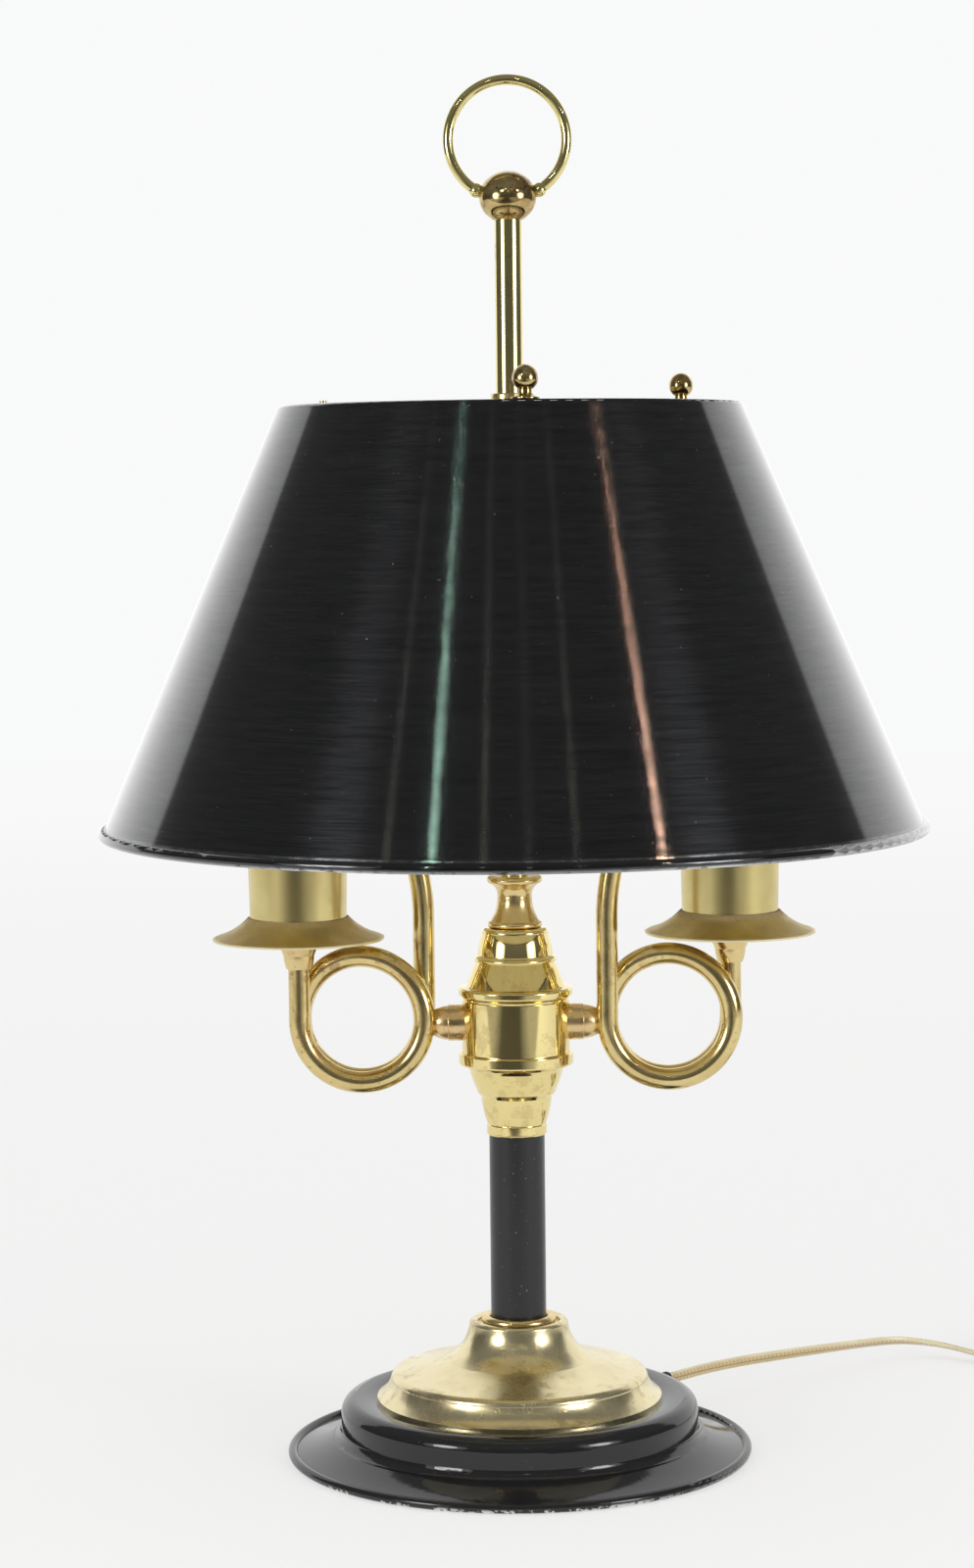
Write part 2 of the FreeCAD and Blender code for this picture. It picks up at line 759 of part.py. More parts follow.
nut_bore = stud_radius + fit_clearance
bore_top = shade_top + stud_rise + stud_end_gap
ball_nut_top = shade_top + ball_nut_centre + ball_nut_radius
ball_nut = lathe(
    (nut_bore, shade_top),
    (ball_nut_saucer, shade_top),
    (ball_nut_saucer, shade_top + ball_nut_step, -0.4),
    (ball_nut_neck, shade_top + ball_nut_neck_rise, 0.25),
    (ball_nut_neck, shade_top + ball_nut_centre - ball_nut_radius + stud_end_gap),
    (ball_nut_radius, shade_top + ball_nut_centre, -0.3),
    (0, ball_nut_top, dome(ball_nut_radius, ball_nut_radius)),
    (0, bore_top),
    (nut_bore, bore_top),
)
nut_solids = [turned(moved(ball_nut, stud_circle_radius, 0), up, angle) for angle in stud_angles[:2]]
nodes["shade_nuts"] = Part.Compound(nut_solids)

clamp_top = hub_low - collar_gap
clamp_low = clamp_top - clamp_length
clamp = lathe(
    (hub_bore, clamp_low),
    (clamp_radius - 0.8, clamp_low),
    (clamp_radius, clamp_low + 0.8, -quarter_turn),
    (clamp_radius, clamp_top - 0.8),
    (clamp_radius - 0.8, clamp_top, -quarter_turn),
    (hub_bore, clamp_top),
)
clamp_middle = clamp_low + clamp_length / 2
tapped_hole = Part.makeCylinder(screw_shank_radius + fit_clearance, clamp_radius + 1,
                                vec(0, 0, clamp_middle), vec(0, 1, 0))
nodes["slide_collar"] = clamp.cut(tapped_hole)
screw_tip = hub_bore + collar_gap
head_low = clamp_radius + screw_stand_off
thumbscrew = lathe(
    (0, screw_tip),
    (screw_shank_radius, screw_tip),
    (screw_shank_radius, head_low),
    (screw_head_radius - 0.8, head_low),
    (screw_head_radius, head_low + 0.8, -quarter_turn),
    (screw_head_radius, head_low + screw_head_length - 0.8),
    (screw_head_radius - 0.8, head_low + screw_head_length, -quarter_turn),
    (0, head_low + screw_head_length),
)
nodes["thumbscrew"] = moved(turned(thumbscrew, vec(1, 0, 0), -90), 0, 0, clamp_middle)

# Cord bushing: a plug in the drum wall with a tapered strain relief
relief_start = drum_radius + bushing_flange
relief_end = relief_start + bushing_length
bushing = lathe(
    (0, weight_radius + weight_gap),
    (bushing_hole_radius, weight_radius + weight_gap),
    (bushing_hole_radius, drum_radius - pan_wall / 2),
    (bushing_flange_radius, drum_radius - pan_wall / 2),
    (bushing_flange_radius, relief_start - 0.6),
    (bushing_flange_radius - 0.6, relief_start, -quarter_turn),
    (bushing_hole_radius, relief_start),
    (bushing_tip_radius, relief_end, 0.05),
    (0, relief_end),
)
bushing = turned(moved(along_x(bushing), 0, 0, bushing_height), up, bushing_angle)
bushing = max(bushing.cut(nodes["base_pan"]).Solids, key=lambda solid: solid.Volume)
nodes["cord_bushing"] = bushing

# Cord: the free run follows hand-set points, then the coil winds in and out again
cord_radius = cord_width / 2
run_start = bushing_way * relief_end + up * bushing_height
last = vec(*cord_points[-1])
coil_level = cord_radius + tie_thickness + tie_clearance
heading = math.radians(coil_heading)
heading_way = vec(math.cos(heading), math.sin(heading), 0)
coil_start = last + heading_way * coil_lead_in
coil_start.z = coil_level
lead_half = last + (coil_start - last) * 0.5 + vec(0.35, 0.3, 0)
lead_half.z = coil_level + 0.2
run_points = [run_start] + [vec(*point) for point in cord_points] + [lead_half, coil_start]
run_edges, run_radii = cable_edges(run_points)
run_way = (run_points[1] - run_points[0]).normalize()
cord_run = swept(run_edges, cord_radius, run_start, run_way)
run_length = sum(edge.Length for edge in run_edges)
nodes["cord_run"] = cord_run

coil_pitch = cord_width + coil_turn_gap
reversal = coil_turns / 2
coil_outer_radius = coil_inner_radius + coil_pitch * reversal
coil_end_way = (coil_start - lead_half).normalize()
coil_heading_angle = math.atan2(coil_end_way.y, coil_end_way.x)
coil_phase = coil_heading_angle - math.pi / 2
straight = cord_width
coil_first = coil_start + coil_end_way * straight
coil_first.z = coil_level
coil_centre = coil_first - vec(math.cos(coil_phase), math.sin(coil_phase), 0) * coil_outer_radius


def coil_point(turn):
    """Centre line of the coil after so many turns: in on the lower layer, out on the upper."""
    radius = coil_inner_radius + coil_pitch * abs(turn - reversal)
    climb = min(max((turn - reversal + 0.25) / 0.5, 0.0), 1.0)
    rise = coil_pitch * climb * climb * (3 - 2 * climb)
    angle = coil_phase + 2 * math.pi * turn
    return vec(coil_centre.x + radius * math.cos(angle), coil_centre.y + radius * math.sin(angle),
               coil_level + rise)


def coil_way(turn):
    step = 0.02
    return (coil_point(min(turn + step, coil_turns)) - coil_point(max(turn - step, 0))).normalize()


quarters = int(math.ceil(coil_turns * 4))
stops = [coil_turns * k / quarters for k in range(quarters + 1)]
coil_edges = [Part.LineSegment(coil_first - coil_way(0) * straight, coil_first).toShape()]
for before, after in zip(stops, stops[1:]):
    coil_edges += biarc(coil_point(before), coil_way(before), coil_point(after), coil_way(after))
coil_last = coil_point(coil_turns)
tail_way = coil_way(coil_turns)
coil_edges.append(Part.LineSegment(coil_last, coil_last + tail_way * straight).toShape())
coil_begin = coil_first - coil_way(0) * straight
nodes["cord_coil"] = swept(coil_edges, cord_radius, coil_begin, coil_way(0))
coil_length = sum(edge.Length for edge in coil_edges)

tail_start = coil_last + tail_way * straight
tail_end = tail_start + tail_way * tail_length
nodes["cord_tail"] = Part.makeCylinder(cord_radius, tail_length, tail_start, tail_way)

bundle_in = coil_inner_radius - cord_radius - tie_clearance
bundle_out = coil_outer_radius + cord_radius + tie_clearance
bundle_low = coil_level - cord_radius - tie_clearance
bundle_top = coil_level + coil_pitch + cord_radius + tie_clearance


def tie_box(grow):
    box = Part.makeBox(bundle_out - bundle_in + 2 * grow, tie_width, bundle_top - bundle_low + 2 * grow,
                       vec(bundle_in - grow, -tie_width / 2, bundle_low - grow))
    corners = [edge for edge in box.Edges if abs(edge.tangentAt(edge.FirstParameter).y) > 0.9]
    return box.makeFillet(2.0 + grow, corners)


tie = tie_box(tie_thickness).cut(tie_box(0.0))
nodes["cord_tie"] = moved(turned(tie, up, tie_angle), coil_centre.x, coil_centre.y)

# Plug with two flat blades, lying beside the coil
plug_low = plug_neck_length
plug_high = plug_neck_length + plug_length


def plug_section(width, thickness, level):
    corner = thickness * 0.32
    half_w = width / 2
    half_t = thickness / 2
    edges = []
    turns = [(1, 1), (-1, 1), (-1, -1), (1, -1)]
    inner = [vec(half_t - corner, half_w - corner, level), vec(-half_t + corner, half_w - corner, level),
             vec(-half_t + corner, -half_w + corner, level), vec(half_t - corner, -half_w + corner, level)]
    ends = []
    for (sx, sy), centre in zip(turns, inner):
        a = centre + (vec(sx * corner, 0, 0) if sx * sy > 0 else vec(0, sy * corner, 0))
        b = centre + (vec(0, sy * corner, 0) if sx * sy > 0 else vec(sx * corner, 0, 0))
        middle = centre + vec(sx, sy, 0) * (corner / math.sqrt(2))
        ends.append((a, middle, b))
    for k, (a, middle, b) in enumerate(ends):
        edges.append(Part.Arc(a, middle, b).toShape())
        edges.append(Part.LineSegment(b, ends[(k + 1) % 4][0]).toShape())
    return Part.Wire(edges)


plug_body = Part.makeLoft([
    plug_section(plug_width * 0.66, plug_thickness * 0.72, plug_low),
    plug_section(plug_width * 0.96, plug_thickness * 0.97, plug_low + plug_length * 0.45),
    plug_section(plug_width, plug_thickness, plug_high),
], True, True)
plug_neck = lathe(
    (0, 0),
    (plug_neck_radius, 0),
    (plug_neck_radius + 1.2, plug_low + 1.0, 0.05),
    (0, plug_low + 1.0),
)
plug_body = plug_body.fuse(plug_neck)
tail_angle = math.degrees(math.atan2(tail_way.y, tail_way.x))


def laid(shape):
    """Lay a piece of the plug on its side behind the end of the tail."""
    return moved(turned(along_x(shape), up, tail_angle), tail_end.x, tail_end.y, tail_end.z)


nodes["plug_body"] = laid(plug_body)
blades = []
for side in (-1, 1):
    blade = Part.makeBox(blade_width, blade_thickness, blade_length,
                         vec(-blade_width / 2, side * blade_spacing / 2 - blade_thickness / 2, plug_high))
    blades.append(laid(blade))
nodes["plug_blades"] = Part.Compound(blades)

# What the cord's route comes to, and the gap that its coil keeps to itself
print("run radii", [round(radius, 1) for radius in run_radii])
print("runs", [round((b - a).Length, 1) for a, b in zip(run_points, run_points[1:])])
section = math.pi * cord_radius ** 2
for name, length in (("cord_run", run_length), ("cord_coil", coil_length)):
    print(name, "length", round(length, 1), "volume ratio", round(nodes[name].Volume / (section * length), 4))
print("cord length", round(run_length + coil_length + tail_length + plug_neck_length, 1))
samples = [coil_point(coil_turns * k / 600) for k in range(601)]
per_turn = 600 / coil_turns
least = min((a - b).Length for i, a in enumerate(samples) for b in samples[i + int(per_turn * 0.6):])
print("coil gap to itself", round(least - cord_width, 2), "centre", coil_centre, "end", tail_end)

os.makedirs("parts", exist_ok=True)
for name, shape in nodes.items():
    shape.exportStep("parts/" + name + ".step")
print(len(nodes), "nodes")
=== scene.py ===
import math

import bmesh
import bpy
from mathutils import Matrix, Vector


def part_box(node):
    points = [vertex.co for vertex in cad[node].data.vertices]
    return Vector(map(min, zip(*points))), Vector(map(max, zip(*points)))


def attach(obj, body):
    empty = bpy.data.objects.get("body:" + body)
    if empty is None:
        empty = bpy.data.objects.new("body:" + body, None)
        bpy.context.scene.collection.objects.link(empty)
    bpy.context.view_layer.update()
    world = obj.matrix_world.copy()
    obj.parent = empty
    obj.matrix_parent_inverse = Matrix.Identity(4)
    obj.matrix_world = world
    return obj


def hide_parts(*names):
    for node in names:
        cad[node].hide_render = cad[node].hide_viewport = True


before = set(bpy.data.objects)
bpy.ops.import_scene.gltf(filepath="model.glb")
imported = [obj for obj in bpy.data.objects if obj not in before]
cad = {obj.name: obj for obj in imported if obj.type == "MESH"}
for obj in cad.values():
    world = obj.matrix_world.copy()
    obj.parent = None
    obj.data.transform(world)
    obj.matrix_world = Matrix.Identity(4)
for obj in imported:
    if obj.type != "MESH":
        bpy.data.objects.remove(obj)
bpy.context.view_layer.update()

# Table and backdrop.
# A sheet of white paper runs under the lamp and up behind it, as in a small photo studio.
# Polished brass and lacquer mirror it, and past its edges they mirror the dim room.


def add(tree, kind, sockets=None, **settings):
    """One shader node with its settings and its inputs, each a value or another node's output."""
    item = tree.nodes.new("ShaderNode" + kind)
    for key, value in settings.items():
        setattr(item, key, value)
    for key, value in (sockets or {}).items():
        if isinstance(value, bpy.types.NodeSocket):
            tree.links.new(value, item.inputs[key])
        else:
            item.inputs[key].default_value = value
    return item


def number(tree, operation, first, second=0.0, third=0.0, clamp=False):
    """A number worked out from one, two or three others."""
    item = add(tree, "Math", {0: first, 1: second, 2: third}, operation=operation, use_clamp=clamp)
    return item.outputs[0]


def span(tree, value, low, high, at_low=0.0, at_high=1.0):
    """A number that runs from one level to another while its input crosses a stretch."""
    sockets = {"Value": value, "From Min": low, "From Max": high, "To Min": at_low, "To Max": at_high}
    return add(tree, "MapRange", sockets).outputs[0]


def tint(tree, share, first, second):
    """A colour between two others, each a colour of three numbers or another node's output."""
    ends = [one if isinstance(one, bpy.types.NodeSocket) else (*one, 1) for one in (first, second)]
    return add(tree, "Mix", {0: share, 6: ends[0], 7: ends[1]}, data_type="RGBA").outputs[2]


def finish(name, base, roughness, **sockets):
    """A material with its main shader; every further socket is set on that shader itself."""
    made = bpy.data.materials.new(name)
    made.use_nodes = True
    shader = made.node_tree.nodes["Principled BSDF"]
    shader.inputs["Base Color"].default_value = (*base, 1)
    shader.inputs["Roughness"].default_value = roughness
    for key, value in sockets.items():
        shader.inputs[key.replace("_", " ")].default_value = value
    return made, made.node_tree, shader


table_size = 8.0
table_grid = bmesh.new()
bmesh.ops.create_grid(table_grid, x_segments=1, y_segments=1, size=table_size / 2)
table_mesh = bpy.data.meshes.new("table")
table_grid.to_mesh(table_mesh)
table = bpy.data.objects.new("table", table_mesh)
bpy.context.scene.collection.objects.link(table)
paper, tree, shader = finish("white_paper", (0.86, 0.86, 0.86), 0.9, Specular_IOR_Level=0.1)
lie = add(tree, "SeparateXYZ", {0: add(tree, "TexCoord").outputs["Object"]}).outputs
paper_light = span(tree, lie["Y"], 0.2, 3.2, 0.95, 0.945)
glow = add(tree, "Emission", {"Color": (1.0, 1.0, 0.997, 1), "Strength": paper_light})
ray = add(tree, "LightPath")
looked_at = number(tree, "MAXIMUM", ray.outputs["Is Camera Ray"], ray.outputs["Is Glossy Ray"])
share = number(tree, "MULTIPLY", looked_at, span(tree, lie["Y"], 0.2, 3.2, 0.65, 1.0))
mixed = add(tree, "MixShader", {0: share, 1: shader.outputs[0], 2: glow.outputs[0]})
past_edge = span(tree, number(tree, "MULTIPLY_ADD", lie["X"], 0.13, lie["Y"]), -0.74, -0.78)
mirrored_room = number(tree, "MULTIPLY", past_edge, ray.outputs["Is Glossy Ray"])
right_part = span(tree, lie["X"], 0.15, 0.6, 0.09, 0.5)
left_part = span(tree, lie["X"], -0.65, -0.95, 0.0, 0.4)
room_light = number(tree, "ADD", right_part, left_part)
room_floor = add(tree, "Emission", {"Color": (1.0, 0.98, 0.93, 1), "Strength": room_light})
whole = add(tree, "MixShader", {0: mirrored_room, 1: mixed.outputs[0], 2: room_floor.outputs[0]})
tree.links.new(whole.outputs[0], tree.nodes["Material Output"].inputs["Surface"])
table_mesh.materials.append(paper)

world = bpy.data.worlds.new("studio")
bpy.context.scene.world = world
world.use_nodes = True
tree = world.node_tree
tree.nodes.clear()
ray = add(tree, "LightPath")
towards = add(tree, "SeparateXYZ", {0: add(tree, "TexCoord").outputs["Generated"]}).outputs
paper_top = number(tree, "MULTIPLY_ADD", towards["Z"], -0.9, towards["Y"])
off_side = number(tree, "MULTIPLY", number(tree, "ABSOLUTE", towards["X"]), -0.583)
paper_side = number(tree, "MULTIPLY_ADD", towards["X"], 0.066, number(tree, "ADD", off_side, towards["Y"]))
on_paper = span(tree, number(tree, "MINIMUM", paper_side, paper_top), -0.02, 0.02)
room = span(tree, towards["Z"], 0.0, 0.6, 0.1, 0.2)
mirrored = add(tree, "Mix", {0: on_paper, 2: room, 3: 1.1}).outputs[0]
glossy = add(tree, "Background", {"Color": (1, 1, 1, 1), "Strength": mirrored})
plain = add(tree, "Background", {"Color": (1, 1, 1, 1), "Strength": 0.8})
shown = add(tree, "Background", {"Color": (0.945, 0.95, 0.95, 1), "Strength": 1.0})
first = add(tree, "MixShader", {0: ray.outputs["Is Glossy Ray"], 1: plain.outputs[0], 2: glossy.outputs[0]})
last = add(tree, "MixShader", {0: ray.outputs["Is Camera Ray"], 1: first.outputs[0], 2: shown.outputs[0]})
add(tree, "OutputWorld", {0: last.outputs[0]})

# Lamps of the studio.
# Two round soft lamps stand at lamp height, left and right of the camera. Each has a bright
# middle. Two small coloured ceiling lights draw the thin streaks on the brushed shade, and six
# warm ones are the bright dots that the base cap mirrors.


def lamp(name, place, aim, across, watts, colour=(1, 1, 1)):
    """A round studio lamp that looks at a point."""
    light = bpy.data.lights.new(name, "AREA")
    light.shape = "DISK"
    light.size = across
    light.energy = watts
    light.color = colour
    held = bpy.data.objects.new(name, light)
    bpy.context.scene.collection.objects.link(held)
    held.location = place
    held.rotation_euler = (Vector(aim) - Vector(place)).to_track_quat("-Z", "Y").to_euler()
    return held


lamp_distance = 1.75
lamp_height = 0.6
body_middle = (0, 0, 0.25)
for side, degrees in (("left", -49.0), ("right", 52.0)):
    turn = math.radians(degrees)
    stand = (lamp_distance * math.sin(turn), -lamp_distance * math.cos(turn), lamp_height)
    behind = (stand[0] * 1.02, stand[1] * 1.02, stand[2])
    lamp("soft_lamp_" + side, behind, body_middle, 0.95, 3.0)
    lamp("bright_middle_" + side, stand, body_middle, 0.52, 6.6)
shade_middle = (0, 0, 0.35)
narrow_beam = 0.32
green = lamp("green_ceiling_light", (-0.53, -1.21, 1.14), shade_middle, 0.04, 0.03, (0.62, 1.0, 0.76))
orange = lamp("orange_ceiling_light", (0.93, -1.03, 1.12), shade_middle, 0.04, 0.05, (1.0, 0.62, 0.42))
for small in (green, orange):
    small.data.spread = narrow_beam
    small.visible_diffuse = False
warm_white = (1.0, 0.88, 0.62)
room_places = [(-1.5, -1.9, 1.9), (-0.95, -2.2, 1.5), (-0.4, -2.4, 2.1), (0.15, -2.3, 1.6), (0.75, -2.3, 2.0),
               (1.6, -1.7, 1.7)]
for k, place in enumerate(room_places):
    small = lamp(f"room_light_{k}", place, (0, 0, 0.3), 0.05, 0.25, warm_white)
    small.visible_diffuse = False

# Camera.
# A long lens a little above the middle of the shade, tipped slightly down. The lamp stands
# right of the middle of the picture and leans a hair to the left.
camera_distance = 1.55
camera_height = 0.417
camera_tilt = math.radians(4.7)
camera_roll = math.radians(0.6)
camera_side = -0.0113
view = bpy.data.cameras.new("view")
view.lens = 83.8
view.sensor_width = 36.0
camera = bpy.data.objects.new("view", view)
bpy.context.scene.collection.objects.link(camera)
camera.matrix_world = (
    Matrix.Translation((camera_side, -camera_distance, camera_height))
    @ Matrix.Rotation(math.pi / 2 - camera_tilt, 4, "X")
    @ Matrix.Rotation(-camera_roll, 4, "Z")
)
bpy.context.scene.camera = camera
bpy.context.scene.view_settings.view_transform = "Standard"

# Black base pan.
# One spun steel sheet with a wired rim, stove-enamelled gloss black. It stands on its rim
# wire, whose front edge has lost its enamel in many small chips.


def dress(made, *names):
    """Gives one finish to CAD pieces that keep their own shape."""
    for name in names:
        held = cad[name]
        held.data.materials.clear()
        held.data.materials.append(made)
        for face in held.data.polygons:
            face.material_index = 0


def place_of(tree):
    """The place on a piece, as a point."""
    return add(tree, "TexCoord").outputs["Object"]


def along_axes(tree, point):
    """How far a point lies along X, Y and Z."""
    return add(tree, "SeparateXYZ", {0: point}).outputs


def grain(tree, point, scale, detail=2.0, rough=0.5):
    """Even random grain, a number near a half."""
    sockets = {"Vector": point, "Scale": scale, "Detail": detail, "Roughness": rough}
    return add(tree, "TexNoise", sockets).outputs[0]


def out_from_axis(tree, x, y, at=(0.0, 0.0)):
    """How far a place is from an upright axis."""
    away_x = number(tree, "SUBTRACT", x, at[0])
    away_y = number(tree, "SUBTRACT", y, at[1])
    squares = number(tree, "MULTIPLY_ADD", away_x, away_x, number(tree, "MULTIPLY", away_y, away_y))
    return number(tree, "SQRT", squares)


def relief(tree, shader, height, depth):
    """Raises a surface by a height between 0 and 1 times a depth in metres."""
    bump = add(tree, "Bump", {"Height": height, "Strength": 1.0, "Distance": depth})
    tree.links.new(bump.outputs[0], shader.inputs["Normal"])


rim_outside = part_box("base_pan")[1].x
pan_enamel, tree, shader = finish("gloss_black_enamel", (0.011, 0.011, 0.012), 0.06)
point = place_of(tree)
at = along_axes(tree, point)
radius = out_from_axis(tree, at["X"], at["Y"])
on_rim = span(tree, radius, rim_outside - 0.0030, rim_outside - 0.0018)
low_side = span(tree, at["Z"], 0.0024, 0.0012)
front_side = span(tree, number(tree, "MULTIPLY_ADD", at["X"], 0.25, at["Y"]), -0.045, -0.075)
chip_grain = grain(tree, point, 420.0, 3.0, 0.6)
chip_patches = grain(tree, point, 70.0, 2.0)
chip_level = number(tree, "MULTIPLY_ADD", chip_patches, 0.6, chip_grain)
chips = number(tree, "MULTIPLY", span(tree, chip_level, 0.84, 0.87), on_rim)
chips = number(tree, "MULTIPLY", chips, number(tree, "MULTIPLY", low_side, front_side))
dust = span(tree, grain(tree, point, 1500.0, 1.0), 0.77, 0.8, 0.0, 0.5)
smears = grain(tree, point, 24.0, 4.0, 0.6)
pale = tint(tree, dust, (0.011, 0.011, 0.012), (0.25, 0.25, 0.24))
tree.links.new(tint(tree, chips, pale, (0.78, 0.77, 0.73)), shader.inputs["Base Color"])
gloss = span(tree, smears, 0.3, 0.75, 0.045, 0.13)
tree.links.new(add(tree, "Mix", {0: chips, 2: gloss, 3: 0.6}).outputs[0], shader.inputs["Roughness"])
skin = number(tree, "MULTIPLY_ADD", chips, -0.8, grain(tree, point, 260.0, 2.0))
relief(tree, shader, skin, 0.00003)
dress(pan_enamel, "base_pan")

# Brass cap of the base.
# A spun brass bell that covers the drum, thinly lacquered. The lacquer has yellowed to a
# pale champagne colour, with brown spots where it has lifted.


def brass(name, bright, worn, stain, roughness, worn_share, stain_share, cloud):
    """Brass with clouds of duller metal, brown blotches, fine pits and a slightly uneven skin."""
    made, tree, shader = finish(name, bright, roughness, Metallic=1.0)
    point = place_of(tree)
    clouds = grain(tree, point, cloud, 6.0, 0.62)
    veil = span(tree, clouds, 0.42, 0.72, 0.0, worn_share)
    patches = number(tree, "MULTIPLY", grain(tree, point, cloud * 0.8, 2.0), 0.7)
    blotch_level = number(tree, "ADD", patches, grain(tree, point, cloud * 4.3, 5.0, 0.7))
    blotches = span(tree, blotch_level, 0.93, 1.02, 0.0, stain_share)
    pits = span(tree, grain(tree, point, 1300.0, 2.0, 0.6), 0.69, 0.75, 0.0, stain_share)
    darker = number(tree, "ADD", blotches, pits, clamp=True)
    metal = tint(tree, darker, tint(tree, veil, bright, worn), stain)
    tree.links.new(metal, shader.inputs["Base Color"])
    wiping = grain(tree, point, cloud * 2.1, 3.0, 0.55)
    wiped = span(tree, wiping, 0.3, 0.75, roughness * 0.7, roughness * 1.3)
    tree.links.new(number(tree, "MULTIPLY_ADD", darker, 0.15, wiped), shader.inputs["Roughness"])
    uneven = number(tree, "MULTIPLY_ADD", darker, -0.35, grain(tree, point, cloud * 3.0, 3.0, 0.5))
    relief(tree, shader, uneven, 0.00001)
    return made


champagne = brass("champagne_brass", (0.78, 0.69, 0.42), (0.72, 0.60, 0.34), (0.26, 0.15, 0.06),
                  0.26, 0.35, 0.3, 44.0)
dress(champagne, "base_cap")

# Inside of the base.
# A cast-iron weight fills the drum, held on the threaded pipe by a zinc-plated washer and
# nut. Green felt is glued underneath. The cord leaves through a black rubber bushing.
cast_iron, tree, shader = finish("cast_iron", (0.09, 0.085, 0.08), 0.75, Metallic=0.6)
point = place_of(tree)
sand_marks = grain(tree, point, 420.0, 4.0, 0.7)
rust = span(tree, grain(tree, point, 38.0, 5.0, 0.65), 0.5, 0.68, 0.0, 0.7)
skin_colour = tint(tree, sand_marks, (0.05, 0.048, 0.046), (0.13, 0.125, 0.12))
tree.links.new(tint(tree, rust, skin_colour, (0.16, 0.065, 0.025)), shader.inputs["Base Color"])
tree.links.new(span(tree, sand_marks, 0.3, 0.7, 0.6, 0.85), shader.inputs["Roughness"])
relief(tree, shader, sand_marks, 0.0004)
dress(cast_iron, "base_weight")

green_felt, tree, shader = finish("green_felt", (0.03, 0.09, 0.05), 0.95, Sheen_Weight=0.5)
point = place_of(tree)
fibres = grain(tree, point, 1700.0, 5.0, 0.75)
worn_felt = grain(tree, point, 45.0, 3.0)
cloth_tone = tint(tree, fibres, (0.018, 0.06, 0.032), (0.05, 0.135, 0.075))
tree.links.new(tint(tree, span(tree, worn_felt, 0.45, 0.8, 0.0, 0.5), cloth_tone, (0.09, 0.13, 0.09)),
               shader.inputs["Base Color"])
relief(tree, shader, fibres, 0.0005)
dress(green_felt, "felt_pad")

bushing_angle = math.radians(47.0)
bushing_ring_pitch = 0.0024
rubber, tree, shader = finish("black_rubber", (0.02, 0.02, 0.02), 0.55)
point = place_of(tree)
at = along_axes(tree, point)
sideways = number(tree, "MULTIPLY", at["Y"], math.sin(bushing_angle))
along = number(tree, "MULTIPLY_ADD", at["X"], math.cos(bushing_angle), sideways)
rings = number(tree, "SINE", number(tree, "MULTIPLY", along, 2 * math.pi / bushing_ring_pitch))
on_taper = span(tree, along, 0.0805, 0.0815)
moulding = number(tree, "MULTIPLY", number(tree, "MULTIPLY_ADD", rings, 0.5, 0.5), on_taper)
bloom = grain(tree, point, 300.0, 3.0)
tree.links.new(tint(tree, bloom, (0.014, 0.014, 0.014), (0.035, 0.034, 0.033)), shader.inputs["Base Color"])
tree.links.new(span(tree, bloom, 0.3, 0.7, 0.45, 0.65), shader.inputs["Roughness"])
relief(tree, shader, moulding, 0.0005)
dress(rubber, "cord_bushing")

# Threaded pipe, nuts and nipples.
# Steel lamp pipe with a fine thread cut from end to end, and pressed hex nuts, all of them
# zinc plated. They hold base, stem, arms and cups together and are hidden in the lamp.


def threads(tree, at, axis, pitch):
    """A screw thread round an upright axis, as a height between 0 and 1."""
    away_x = number(tree, "SUBTRACT", at["X"], axis[0])
    away_y = number(tree, "SUBTRACT", at["Y"], axis[1])
    turned = number(tree, "ARCTAN2", away_y, away_x)
    climbing = number(tree, "MULTIPLY_ADD", at["Z"], 2 * math.pi / pitch, turned)
    return number(tree, "MULTIPLY_ADD", number(tree, "SINE", climbing), 0.5, 0.5)


def middle_of(name):
    """The upright axis through the middle of a CAD node."""
    low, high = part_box(name)
    return (low.x + high.x) / 2, (low.y + high.y) / 2


pipe_pitch = 0.00094
threaded = ("centre_pipe", "cup_nipple_left", "cup_nipple_right")
unthreaded = ("base_washer", "base_nut", "arm_nut_left", "arm_nut_right", "cup_nut_left", "cup_nut_right")
for name in threaded + unthreaded:
    zinc, tree, shader = finish("zinc_on_" + name, (0.62, 0.62, 0.58), 0.34, Metallic=1.0)
    point = place_of(tree)
    at = along_axes(tree, point)
    spangle = grain(tree, point, 240.0, 4.0, 0.6)
    tarnish = span(tree, grain(tree, point, 70.0, 4.0, 0.6), 0.5, 0.72, 0.0, 0.6)
    plate = tint(tree, spangle, (0.55, 0.55, 0.52), (0.70, 0.69, 0.64))
    tree.links.new(tint(tree, tarnish, plate, (0.34, 0.29, 0.2)), shader.inputs["Base Color"])
    tree.links.new(span(tree, spangle, 0.3, 0.7, 0.26, 0.44), shader.inputs["Roughness"])
    if name in threaded:
        relief(tree, shader, threads(tree, at, middle_of(name), pipe_pitch), 0.0003)
    else:
        relief(tree, shader, spangle, 0.00004)
    dress(zinc, name)

# Brass of the stem: ring at its foot, turned cup, body and crown.
# Turned from brass bar and tube, polished and lacquered. They are clamped one on another by
# the threaded pipe inside. Ring, spool and couplings are duller and redder with age.
polished = brass("polished_brass", (0.84, 0.71, 0.33), (0.80, 0.64, 0.27), (0.38, 0.22, 0.08),
                 0.07, 0.4, 0.25, 40.0)
dress(polished, "arm_body", "upper_cap", "lower_cup")
warm = brass("warm_aged_brass", (0.78, 0.62, 0.30), (0.70, 0.50, 0.23), (0.34, 0.18, 0.07),
             0.24, 0.6, 0.3, 46.0)
dress(warm, "neck_spool", "foot_ring", "cup_ferrule_left", "cup_ferrule_right")
red_brass = brass("red_brass", (0.82, 0.62, 0.32), (0.74, 0.50, 0.24), (0.38, 0.20, 0.09),
                  0.3, 0.6, 0.3, 80.0)
dress(red_brass, "arm_stub_left", "arm_stub_right")

